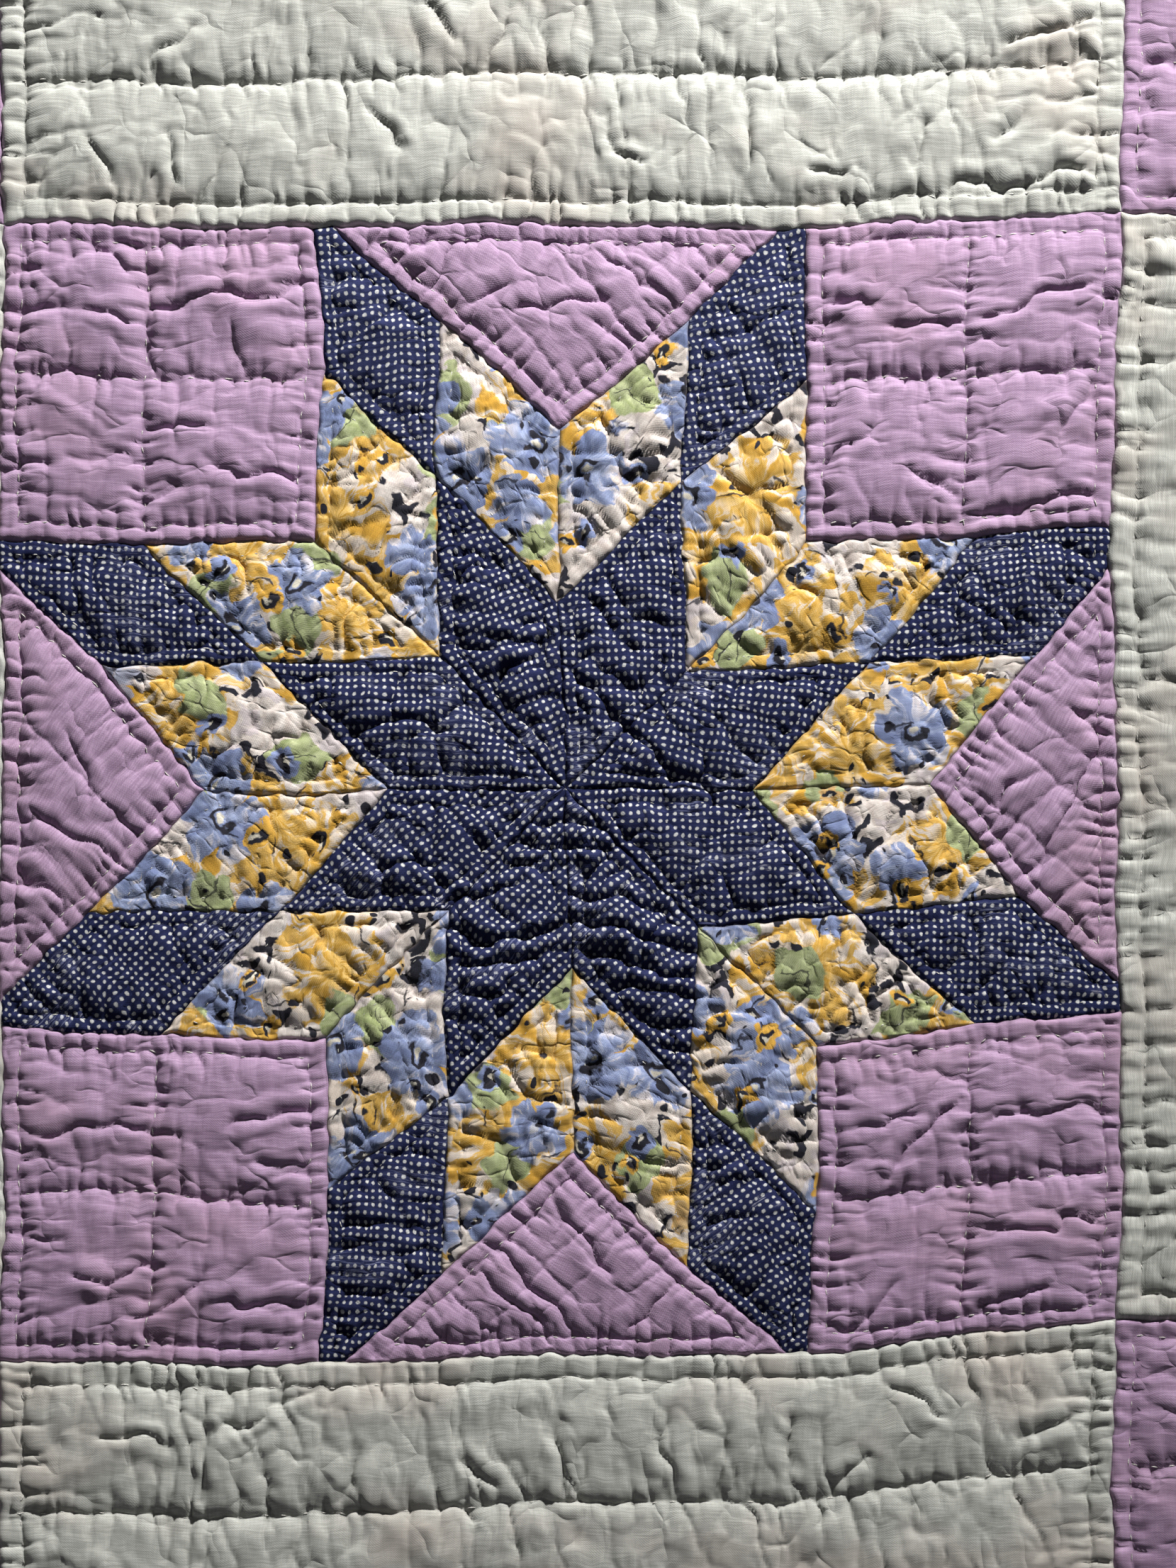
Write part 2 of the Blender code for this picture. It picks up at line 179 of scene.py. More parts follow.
# Main folds: two ends and depth
FOLDS = (
    (-158.8, 135.4, -140.8, 136.8, 0.9), (-136.8, 134.8, -119.8, 133.0, 0.9),
    (-117.4, 136.2, -102.8, 139.4, 0.9), (-102.8, 139.4, -74.8, 141.8, 1.0),
    (-117.8, 102.4, -98.8, 103.4, 0.9), (-98.8, 93.4, -89.8, 89.0, 0.8),
    (-89.8, 89.0, -72.8, 88.8, 0.9), (-158.8, 89.8, -146.8, 90.6, 0.8),
    (-138.8, 93.4, -122.8, 95.4, 0.7), (-158.8, 145.0, -146.8, 147.4, 0.8),
    (-134.8, 153.4, -122.8, 146.4, 0.8), (-116.8, 82.4, -108.8, 87.0, 0.8),
    (91.2, 131.4, 111.2, 132.4, 0.9), (115.6, 133.4, 129.2, 135.4, 0.9),
    (129.2, 135.4, 150.2, 142.4, 1.0), (74.8, 92.4, 82.2, 97.4, 0.9),
    (82.2, 97.4, 92.8, 110.4, 0.5), (99.2, 90.4, 111.2, 84.8, 0.9),
    (115.2, 79.0, 129.2, 78.6, 0.8), (129.2, 78.6, 151.2, 83.4, 0.9),
    (141.2, 101.4, 149.2, 114.4, 0.9), (77.2, 139.4, 89.2, 135.4, 0.9),
    (-148.8, -97.6, -134.8, -95.0, 0.8), (-134.8, -95.0, -117.8, -94.6, 0.8),
    (-93.8, -93.2, -70.8, -88.6, 1.0), (-88.8, -105.2, -73.8, -104.6, 0.7),
    (-136.8, -136.2, -128.8, -139.6, 0.9), (-128.8, -139.6, -117.8, -134.6, 0.9),
    (-113.8, -147.6, -98.8, -134.6, 0.9), (-98.8, -145.0, -70.8, -143.8, 0.9),
    (-154.8, -125.6, -140.8, -128.6, 0.7), (89.2, -109.6, 99.2, -99.0, 1.0),
    (99.2, -99.0, 112.8, -88.6, 1.0), (117.2, -95.0, 129.2, -90.6, 0.8),
    (129.2, -90.6, 151.2, -88.2, 0.9), (115.6, -147.0, 137.2, -141.8, 0.9),
    (76.2, -150.2, 87.6, -148.6, 0.8), (87.6, -148.6, 93.6, -139.6, 0.9),
    (81.2, -94.6, 101.2, -90.6, 0.7), (118.2, -124.6, 149.2, -122.6, 0.8),
    (-36.8, 142.8, -31.4, 154.4, 0.7), (-45.4, 150.8, -37.6, 156.2, 0.6),
    (-27.6, 136.0, -15.4, 141.6, 0.8), (-15.4, 134.8, 12.6, 138.6, 0.8),
    (8.6, 152.0, 27.4, 139.0, 0.7), (4.2, 134.8, 17.0, 127.4, 0.6),
    (-19.2, -130.4, -6.8, -142.8, 0.9), (-6.8, -142.8, 2.8, -150.0, 0.8),
    (-24.0, -134.8, -3.2, -156.8, 0.8), (-3.8, -118.2, 13.2, -135.4, 0.9),
    (31.2, -137.8, 16.4, -155.6, 0.7), (-38.2, -149.4, -32.6, -153.8, 0.7),
    (152.8, 13.4, 141.2, -6.6, 0.9), (141.2, -6.6, 133.6, -24.6, 0.8),
    (129.2, 3.4, 119.6, -6.6, 0.7), (121.2, -4.6, 133.2, 3.4, 0.7),
    (141.2, 23.4, 153.2, 15.4, 0.8), (-148.8, -7.6, -138.8, -12.6, 0.9),
    (-138.8, -12.6, -124.8, -21.0, 0.8), (-156.8, 7.4, -146.8, 5.0, 0.8),
    (-152.8, -22.6, -140.8, -34.6, 0.9), (-140.8, 15.4, -132.8, -2.6, 0.6),
    (-118.8, 203.4, -100.8, 217.4, 0.9), (-18.8, 204.4, -12.8, 219.4, 0.9),
    (-108.8, 173.4, -110.8, 187.4, 0.9), (-30.8, 211.4, -38.8, 223.4, 0.9),
    (15.2, 177.4, 13.2, 189.4, 0.9), (15.2, 177.4, 21.2, 175.4, 0.9),
    (51.2, 177.4, 54.2, 193.4, 1.0), (99.2, 175.4, 103.2, 189.4, 0.9),
    (121.2, 183.4, 131.2, 191.4, 0.9), (109.2, 170.4, 150.2, 176.0, 1.0),
    (125.2, 211.4, 149.2, 217.4, 1.0), (-46.8, 179.4, -52.8, 193.4, 0.9),
    (-134.8, 183.4, -126.8, 171.4, 0.8), (67.2, 175.4, 79.2, 173.4, 0.8),
    (-100.8, -172.6, -101.6, -198.6, 1.0), (-98.8, -180.6, -84.8, -174.6, 0.9),
    (-84.8, -174.6, -70.8, -169.6, 0.8), (-62.8, -200.6, -56.8, -186.6, 0.9),
    (-0.8, -178.6, 1.2, -200.6, 0.9), (30.2, -174.6, 31.2, -196.6, 0.9),
    (65.2, -174.6, 66.2, -188.6, 0.9), (93.2, -168.6, 109.2, -176.6, 0.9),
    (149.2, -166.6, 149.2, -188.6, 0.9), (-128.8, -182.6, -110.8, -183.6, 0.8),
    (-28.8, -188.6, -18.8, -198.6, 0.9), (87.2, -186.6, 77.2, -196.6, 0.9),
    (129.2, -184.6, 145.2, -176.6, 0.9), (-1.9, 44.5, -20.4, 26.4, 1.3),
    (1.6, 34.2, 18.4, 16.0, 1.1), (18.4, 16.0, 30.1, 5.2, 1.1),
    (30.1, 5.2, 42.8, -0.6, 1.1), (-60.6, 16.6, -46.2, 18.2, 1.0),
    (-46.2, 18.2, -32.8, 17.1, 1.0), (-57.2, -16.8, -51.7, -21.2, 1.0),
    (-51.7, -21.2, -36.2, -22.4, 1.0), (-10.6, -10.2, 1.6, -8.0, 0.9),
    (1.6, -8.0, 12.8, -10.2, 0.9), (-14.0, -15.7, -0.6, -13.4, 1.2),
    (-0.6, -13.4, 13.8, -16.8, 1.2), (-31.7, -33.5, -20.6, -29.0, 1.1),
    (-20.6, -29.0, -10.6, -26.2, 1.1), (-31.2, -39.0, -20.0, -43.7, 1.3),
    (-20.0, -43.7, -10.6, -42.2, 1.3), (-10.6, -42.2, 2.8, -38.2, 1.3),
    (-30.6, -48.0, -19.4, -50.7, 1.3), (-19.4, -50.7, -5.0, -47.4, 1.3),
    (-29.5, -56.8, -20.6, -58.4, 1.2), (-20.6, -58.4, -14.0, -56.8, 1.2),
    (-30.6, -65.7, -22.8, -66.8, 1.1), (3.8, -30.2, 17.2, -32.4, 1.1),
    (17.2, -32.4, 30.5, -33.5, 1.1), (3.8, -38.4, 15.0, -40.2, 1.3),
    (15.0, -40.2, 28.3, -42.4, 1.3), (28.3, -42.4, 37.8, -43.4, 1.3),
    (6.0, -46.2, 17.2, -49.0, 1.3), (17.2, -49.0, 37.8, -50.2, 1.3),
    (15.0, -55.7, 28.3, -56.2, 1.2), (28.3, -56.2, 38.3, -56.8, 1.2),
    (21.6, -64.0, 38.3, -65.2, 1.2), (28.3, -71.2, 38.3, -72.4, 1.1),
)

# How each kind of patch is quilted: distance from its seams to the quilted line, rise of the puffs, depth and
# spacing of the puckers by the stitches, depth, width and reach of the longer creases, crumple, and how deep
# the quilted lines lie
QUILTING = {
    "inner": (3.8, 2.3, 1.6, 4.8, 2.50, 8.5, 16.0, 0.30, 0.55),
    "tip": (3.8, 2.2, 1.6, 4.6, 2.30, 7.0, 15.0, 0.30, 0.45),
    "print": (3.8, 2.3, 1.8, 4.6, 2.20, 5.8, 11.0, 0.34, 0.35),
    "corner": (4.8, 2.4, 1.8, 5.0, 1.25, 10.5, 18.0, 0.24, 1.0),
    "side": (4.8, 2.4, 1.8, 4.6, 1.45, 10.0, 32.0, 0.08, 1.0),
    "cornerstone": (4.8, 2.4, 1.6, 5.2, 1.50, 9.0, 17.0, 0.28, 0.9),
    "sash": (6.6, 2.6, 1.8, 5.6, 1.60, 10.5, 21.0, 0.32, 1.0),
}


def turned_left(sides):
    """The four sides of a patch, put round the other way where they run clockwise."""
    x, y = np.concatenate([side[:-1] for side in sides]).T
    if np.sum(x * np.roll(y, -1) - y * np.roll(x, -1)) < 0:
        sides = [side[::-1] for side in sides[::-1]]
    return sides


def cut_patches():
    """Every patch of the top as its name and four sides that meet at its corners; a triangle's fourth corner
    is the middle of its long side."""
    cut = []
    rays = list(RAYS)

    def add(name, *sides):
        cut.append((name, turned_left([np.array(side, float) for side in sides])))

    for i, (middle, side_a, tip_a, tip_b, side_b) in enumerate(DIAMONDS):
        first, second = rays[i], rays[(i + 1) % 8]
        end_a, half_a = RAYS[first]
        end_b, half_b = RAYS[second]
        centre = (0.0, 0.0)
        label = f"{first}_{second}"
        add(f"inner_diamond_{label}", (centre, half_a), (half_a, middle), (middle, half_b), (half_b, centre))
        add(f"print_diamond_{label}_a", (half_a, end_a), (end_a, side_a), (side_a, middle), (middle, half_a))
        add(f"print_diamond_{label}_b", (half_b, middle), (middle, side_b), (side_b, end_b), (end_b, half_b))
        add(f"tip_diamond_{label}", (middle, side_a), (side_a, tip_a, tip_b), (tip_b, side_b),
            (side_b, middle))
        last_tip, last_side = DIAMONDS[i - 1][3:]
        if first in CORNERS:
            kind, corner = "corner_square", CORNERS[first][0]
        else:
            kind, corner = "side_triangle", tuple(0.5 * (np.array(last_tip) + np.array(tip_a)))
        add(f"{kind}_{first}", (end_a, last_side, last_tip), (last_tip, corner), (corner, tip_a),
            (tip_a, side_a, end_a))
    order = ("nw", "ne", "se", "sw")
    for i, name in enumerate(order):
        corner, level, own, upright = CORNERS[name]
        add(f"cornerstone_{name}", (corner, level), (level, own), (own, upright), (upright, corner))
        before, after = DIAMONDS[2 * i - 1], DIAMONDS[2 * i]
        next_corner, next_level, _, next_upright = CORNERS[order[(i + 1) % 4]]
        near, far = (level, next_level) if i % 2 == 0 else (upright, next_upright)
        add(f"sash_{('top', 'right', 'bottom', 'left')[i]}",
            (corner, before[2], before[3], after[2], after[3], next_corner), (next_corner, far), (far, near),
            (near, corner))
    return cut


def outline_of(sides):
    """The corners and bends of a patch, once each, anticlockwise."""
    return np.concatenate([side[:-1] for side in sides])


def inset(outline, distance):
    """Each edge moved inwards by distance: a corner moves along the sum of its two edges' normals, divided by
    one plus their dot product."""
    along = np.roll(outline, -1, 0) - outline
    along /= np.linalg.norm(along, axis=1)[:, None]
    normal = np.stack([-along[:, 1], along[:, 0]], 1)
    last = np.roll(normal, 1, 0)
    return outline + (normal + last) * distance / (1 + (normal * last).sum(1))[:, None]


def inside(x, y, outline):
    """True where a ray to the right crosses the outline an odd number of times."""
    odd = np.zeros(x.shape, bool)
    for a, b in zip(outline, np.roll(outline, -1, 0)):
        if a[1] != b[1]:
            crossed = (a[1] > y) != (b[1] > y)
            odd ^= crossed & (x < a[0] + (y - a[1]) / (b[1] - a[1]) * (b[0] - a[0]))
    return odd


def by_line(x, y, a, b):
    """Where points lie by a straight line: how far along it, how far left of it, and how far from it."""
    along = (b - a) / np.linalg.norm(b - a)
    length = np.linalg.norm(b - a)
    s = (x - a[0]) * along[0] + (y - a[1]) * along[1]
    left = (y - a[1]) * along[0] - (x - a[0]) * along[1]
    return s, left, np.hypot(left, s - np.clip(s, 0, length))


def from_edges(x, y, outline):
    """How far points are from the nearest edge of an outline."""
    edges = zip(outline, np.roll(outline, -1, 0))
    return np.min([by_line(x, y, a, b)[2] for a, b in edges], axis=0)


def lumps(x, y, seed):
    """Smooth noise of about unit size and spacing: random numbers on two lattices, one turned by 37 degrees,
    each joined by cubic blending, and added."""
    rng = np.random.default_rng(seed)
    total = np.zeros(np.shape(x))
    size = 64
    for turn in (0.0, 0.65):
        table = rng.standard_normal((size, size))
        u = x * math.cos(turn) - y * math.sin(turn) + 31.7
        v = x * math.sin(turn) + y * math.cos(turn) + 17.3
        i = np.floor(u).astype(int)
        j = np.floor(v).astype(int)
        p = (u - i) ** 2 * (3 - 2 * (u - i))
        q = (v - j) ** 2 * (3 - 2 * (v - j))
        i0, i1, j0, j1 = i % size, (i + 1) % size, j % size, (j + 1) % size
        low = table[j0, i0] * (1 - p) + table[j0, i1] * p
        high = table[j1, i0] * (1 - p) + table[j1, i1] * p
        total += low * (1 - q) + high * q
    return total


def creased(noise):
    """Rounded lumps with sharp creases between them: the size of a smooth noise, less its mean."""
    return np.sqrt(noise**2 + 0.006) - 0.75


patches = cut_patches()
crossings = [np.array(line, float) for line in CROSSINGS]


def quilted_lines():
    """Each straight quilted line: start, end, seed, stitch spacing, and the name of the patch it is in."""
    found = []
    for name, sides in patches:
        outline = outline_of(sides)
        gap, spacing = QUILTING[name.split("_")[0]][0:4:3]
        inner = inset(outline, gap)
        found += [(a, b, spacing, name) for a, b in zip(inner, np.roll(inner, -1, 0))]
        for path in crossings:
            middle = path[len(path) // 2] * 0.5 + path[len(path) // 2 - 1] * 0.5
            if inside(middle[:1], middle[1:], outline)[0]:
                found += [(a, b, spacing, name) for a, b in zip(path, path[1:])]
    rng = np.random.default_rng(21)
    return [(a, b, int(rng.integers(1e6)), spacing * rng.uniform(0.93, 1.07), name)
            for a, b, spacing, name in found]


lines = quilted_lines()


def cells(s, width, seed):
    """Uneven cells along a line, from half to one and a half widths long: how far a place is from the nearest
    border between two cells, and that border's own number between 0 and 1."""
    rng = np.random.default_rng(seed)
    whole, before = 700, 220
    count = int(whole / width) + 4
    border = np.cumsum(width * rng.uniform(0.5, 1.5, count)) - before
    s = np.clip(s, border[0], border[-1])
    i = np.clip(np.searchsorted(border, s), 1, count - 1)
    behind = s - border[i - 1]
    ahead = border[i] - s
    chance = rng.uniform(0, 1, count)[np.where(behind < ahead, i - 1, i)]
    return np.minimum(behind, ahead), chance


# A shift that makes the creases differ on the two sides of a quilted line, and how far they reach from the
# line along a side triangle's long side
SIDE_SHIFT = 3.7
SHORT_REACH = 3.0


def puffs(x, y, name, sides, grain):
    """Height of the cloth over the table inside one patch.

    Each quilted line pulls the cloth down. Uneven cells lie along it: small ones as long as a stitch, whose
    puckers fade within a few millimetres, and longer ones between creases that run straight away from it. A
    crease is a sharp exponential groove in a broad one, fading with distance by its own number, and it holds
    the puffs' shoulders back. Fine creases are the lines where a smooth noise is zero, and come and go.
    Between a quilted line and its seam the puckers run straight across."""
    gap, rise, pucker, _, fold, width, reach, crumple, deep = QUILTING[name.split("_")[0]]
    outline = outline_of(sides)
    within = inside(x, y, inset(outline, gap))
    seam = from_edges(x, y, outline)
    near = np.full(x.shape, np.inf)
    share = np.full(x.shape, 1e-12)
    ladder = np.zeros(x.shape)
    coarse = np.zeros(x.shape)
    crease = np.zeros(x.shape)
    notch = np.zeros(x.shape)
    wx = x + 0.30 * lumps(x / 4.5, y / 4.5, 51)
    wy = y + 0.30 * lumps(x / 4.5, y / 4.5, 52)
    for a, b, seed, spacing, owner in lines:
        if owner != name:
            continue
        s, left, far = by_line(wx, wy, a, b)
        near = np.minimum(near, far)
        beyond = np.sqrt(np.maximum(far**2 - left**2, 0))
        side = np.sign(left) * SIDE_SHIFT
        weight = np.exp(-far / 1.7)
        share += weight
        away, chance = cells(s + 0.35 * lumps(s / 6, far / 6, seed), spacing, seed + 1)
        slit = 0.7 * np.exp(-away / 0.6) + 0.3 * np.exp(-away / 1.9)
        ladder += weight * (1 - (0.45 + 0.95 * chance) * slit)
        lean = 0.55 * np.minimum(far, 40) * lumps(s / 34, side, seed + 2)
        lean = crumple * (lean + 2.4 * lumps(s / 9, far / 8 + side, seed + 4))
        away, chance = cells(s + lean + side, width, seed + 3)
        deepest = 0.08 + 0.92 * chance**1.3
        straight = name.startswith("side") and min(abs(b - a)) < 0.3 * max(abs(b - a))
        long_reach = SHORT_REACH if straight else reach
        groove = 0.72 * np.exp(-away / 0.7) + 0.28 * np.exp(-away / (2.2 + 0.05 * np.minimum(far, 40)))
        fading = np.exp(-((far / (long_reach * (0.35 + 1.1 * chance))) ** 1.6) - beyond / 3)
        crease += deepest * groove * fading * (1 - np.exp(-far / 1.3))
        notch += weight * deepest * np.exp(-away / 1.7)
        coarse += weight * creased(lumps(s / (2.1 * width), far / (4 * width) + side, seed + 5))
    ladder /= share
    coarse /= share
    notch /= share
    across = x * -math.sin(grain) + y * math.cos(grain)
    along = x * math.cos(grain) + y * math.sin(grain)
    rough = creased(lumps(along / 22, across / 10 + 0.5 * lumps(along / 12, across / 12, 5), 7))
    sharp = -np.exp(-np.abs(lumps(along / 30 + 9, across / 17, 8)) / 0.07)
    coming = np.clip(0.5 + 0.5 * lumps(x / 15, y / 15, 10), 0, 1.2)
    fine = -np.exp(-np.abs(lumps(along / 13 + 3, across / 7.5, 9)) / 0.16) * coming
    shoulder = near * (1 - 0.62 * notch)
    cell = rise * (0.66 * (1 - np.exp(-shoulder / (2.6 - 1.1 * deep))) + 0.34 * (1 - np.exp(-near / 8)))
    cell += 0.22 * ladder * np.exp(-near / 1.5)
    cell += pucker * (ladder - 0.8) * np.exp(-near / 4.6) * (1 - np.exp(-near / 0.6))
    cell -= fold * crease
    cell += 1.2 * crumple * coarse * (np.exp(-near / 40) - np.exp(-near / 5))
    crushed = (0.10 + 1.4 * crumple) * fine * (1 - np.exp(-near / 2))
    cell += crumple * (rough + 0.4 * sharp) * (1 - np.exp(-near / 5)) + crushed
    band = 0.22 * ladder * np.exp(-near / 1.5)
    plump = 0.10 + (1.35 + 0.20 * lumps(x / 11, y / 11, 12)) * ladder * (0.62 + 0.08 * gap)
    band += (1 - np.exp(-near / 1.0)) * plump * (0.3 + 0.7 * deep)
    band -= 0.5 * fold * notch * (1 - np.exp(-near / 1.0))
    height = STITCH_Z + 0.35 * (1 - deep) + np.where(within, cell, band)
    height += 0.20 * lumps(x / 9, y / 9, 31) * (1 - np.exp(-near / 2)) + 0.05 * lumps(x / 3.2, y / 3.2, 32)
    hem = np.exp(-((seam / 0.9) ** 2))
    return height * (1 - hem) + (SEAM_Z + 0.26 * lumps(x / 3.0, y / 3.0, 33)) * hem


# The net on which heights are worked out, every half millimetre
NET = 0.5
net_x = np.arange(-246.0, 245.8, NET)
net_y = np.arange(-249.5, 252.8, NET)

# Which way the crumple of plain patches runs, in radians; in the others it runs askew of their first side
GRAINS = {"corner": 0.0, "cornerstone": 0.0, "sash": 1.45}
UPRIGHT_SASHES = ("sash_left", "sash_right")
UPRIGHT_GRAIN = 0.1
ASKEW = 1.2


def part_of_net(points, margin):
    """The window of the net within a margin of some points, and its X and Y."""
    low = points.min(0) - margin
    high = points.max(0) + margin
    columns = slice(*np.searchsorted(net_x, (low[0], high[0])))
    rows = slice(*np.searchsorted(net_y, (low[1], high[1])))
    return (rows, columns), *np.meshgrid(net_x[columns], net_y[rows])


def quilted_face():
    """Heights of the whole top on the net: every patch's puffs, then the main folds cut in as grooves whose
    depth fades towards their ends, with a low ridge on both sides, and the edge brought down to the back."""
    height = np.full((len(net_y), len(net_x)), EDGE_Z)
    for name, sides in patches:
        outline = outline_of(sides)
        window, x, y = part_of_net(outline, margin=2)
        mask = inside(x, y, outline)
        heading = math.atan2(*(sides[0][-1] - sides[0][0])[::-1])
        grain = UPRIGHT_GRAIN if name in UPRIGHT_SASHES else GRAINS.get(name.split("_")[0], heading + ASKEW)
        height[window][mask] = puffs(x[mask], y[mask], name, sides, grain)
    for *ends, depth in FOLDS:
        ends = np.reshape(ends, (2, 2))
        window, x, y = part_of_net(ends, margin=9)
        x = x + 0.9 * lumps(x / 7, y / 7, 41)
        y = y + 0.9 * lumps(x / 7, y / 7, 42)
        s, _, far = by_line(x, y, *ends)
        length = np.linalg.norm(ends[1] - ends[0])
        fading = np.clip(s / 4, 0, 1) * np.clip((length - s) / 4, 0, 1) * 0.45 + 0.55
        groove = np.exp(-far / 0.8) - 0.30 * np.exp(-(((far - 3.2) / 2.2) ** 2))
        height[window] -= depth * FOLD_CUT * groove * fading
    orders = {"ne": (1, 2, 3), "se": (3, 2, 1), "sw": (1, 2, 3), "nw": (3, 2, 1)}
    rim = np.array([CORNERS[corner][k] for corner, order in orders.items() for k in order])
    x, y = np.meshgrid(net_x, net_y)
    edge = from_edges(x, y, rim)
    fade = np.exp(-((edge / 2.4) ** 2))
    height = np.clip(height, LOWEST_Z, HIGHEST_Z)
    return height * (1 - fade) + EDGE_Z * fade


top_height = quilted_face()


def on_net(table, x, y):
    """A table's value at plan positions: Catmull-Rom cubic weights over the sixteen nearest net points."""
    u = np.clip((x - net_x[0]) / NET, 1, len(net_x) - 3)
    v = np.clip((y - net_y[0]) / NET, 1, len(net_y) - 3)
    i = np.floor(u).astype(int)
    j = np.floor(v).astype(int)
    p = u - i
    q = v - j

    def weights(t):
        ends = (-t + 2 * t**2 - t**3) / 2, (t**3 - t**2) / 2
        return ends[0], (2 - 5 * t**2 + 3 * t**3) / 2, (t + 4 * t**2 - 3 * t**3) / 2, ends[1]

    total = np.zeros(np.shape(x))
    for n, wy in enumerate(weights(q)):
        for m, wx in enumerate(weights(p)):
            total += wx * wy * table[j + n - 1, i + m - 1]
    return total


slope_y, slope_x = np.gradient(top_height, NET)


def settled(x, y):
    """Where a point of the top lies: its plan position drawn a little downhill, so that puffs are broad and
    grooves narrow, and up the block with its height, the way the cloth was smoothed, then the quilt's slow
    unevenness, and its height; all in millimetres."""
    height = on_net(top_height, x, y)
    px = x - DRAWN_DOWNHILL * on_net(slope_x, x, y) + 0.22 * lumps(x / 3.6, y / 3.6, 61)
    py = y - DRAWN_DOWNHILL * on_net(slope_y, x, y) + 0.22 * lumps(x / 3.6, y / 3.6, 62)
    py += SMOOTHED_UP * (height - SEAM_Z)
    wx = px + 0.7 * np.sin(py / 21 + 0.6) + 0.4 * np.sin(py / 8.5 + px / 60) - BOX_MIDDLE[0]
    wy = py + 0.7 * np.sin(px / 24 + 2.1) + 0.4 * np.sin(px / 9.2 - py / 70) - BOX_MIDDLE[1]
    return np.stack([wx, wy, height], -1)


METRES = 0.001


def make_piece(name, points, quads, cloth_uv, lift=None):
    """A mesh of four-cornered faces from arrays of points in millimetres, with its cloth's plan as a UV map,
    in millimetres too, and how far each point stands up out of the cloth, which the materials use for painted
    highlight and shade."""
    mesh = bpy.data.meshes.new(name)
    mesh.vertices.add(len(points))
    mesh.vertices.foreach_set("co", (points * METRES).astype(np.float32).ravel())
    mesh.loops.add(quads.size)
    mesh.loops.foreach_set("vertex_index", quads.astype(np.int32).ravel())
    mesh.polygons.add(len(quads))
    mesh.polygons.foreach_set("loop_start", np.arange(0, quads.size, 4, dtype=np.int32))
    mesh.polygons.foreach_set("loop_total", np.full(len(quads), 4, dtype=np.int32))
    mesh.polygons.foreach_set("use_smooth", np.ones(len(quads), bool))
    mesh.update(calc_edges=True)
    layer = mesh.uv_layers.new(name="cloth")
    layer.data.foreach_set("uv", cloth_uv[quads.ravel()].astype(np.float32).ravel())
    if lift is not None:
        mesh.attributes.new("lift", "FLOAT", "POINT").data.foreach_set("value", lift.astype(np.float32))
    mesh.validate()
    piece = bpy.data.objects.new(name, mesh)
    scene.collection.objects.link(piece)
    return piece


def net_faces(rows, columns):
    """Faces of a net of points, row by row, that look up where columns run along X and rows along Y."""
    index = np.arange(rows * columns).reshape(rows, columns)
    return np.stack([index[:-1, :-1], index[:-1, 1:], index[1:, 1:], index[1:, :-1]], -1).reshape(-1, 4)


class Wire:
    """A node's output in a sum: the signs + - * / and the calls below add Math nodes behind it."""

    def __init__(self, finish, out):
        self.finish = finish
        self.out = out

    def math(self, operation, *others, clamp=False):
        sockets = dict(enumerate((self, *others)))
        return self.finish.add("ShaderNodeMath", {"operation": operation, "use_clamp": clamp}, sockets)

    def __add__(self, other):
        return self.math("ADD", other)

    __radd__ = __add__

    def __mul__(self, other):
        return self.math("MULTIPLY", other)

    __rmul__ = __mul__

    def __sub__(self, other):
        return self.math("SUBTRACT", other)

    def __rsub__(self, other):
        return (self * -1.0).math("ADD", other)

    def __truediv__(self, other):
        return self.math("DIVIDE", other)

    def __pow__(self, other):
        return self.math("POWER", other)

    def size(self):
        return self.math("ABSOLUTE")

    def above(self, low, high):
        """0 below low, 1 above high, and a straight rise between them."""
        return ((self - low) / (high - low)).math("ADD", 0.0, clamp=True)

    def below(self, low, high):
        """1 below low, 0 above high, and a straight fall between them."""
        return 1.0 - self.above(low, high)


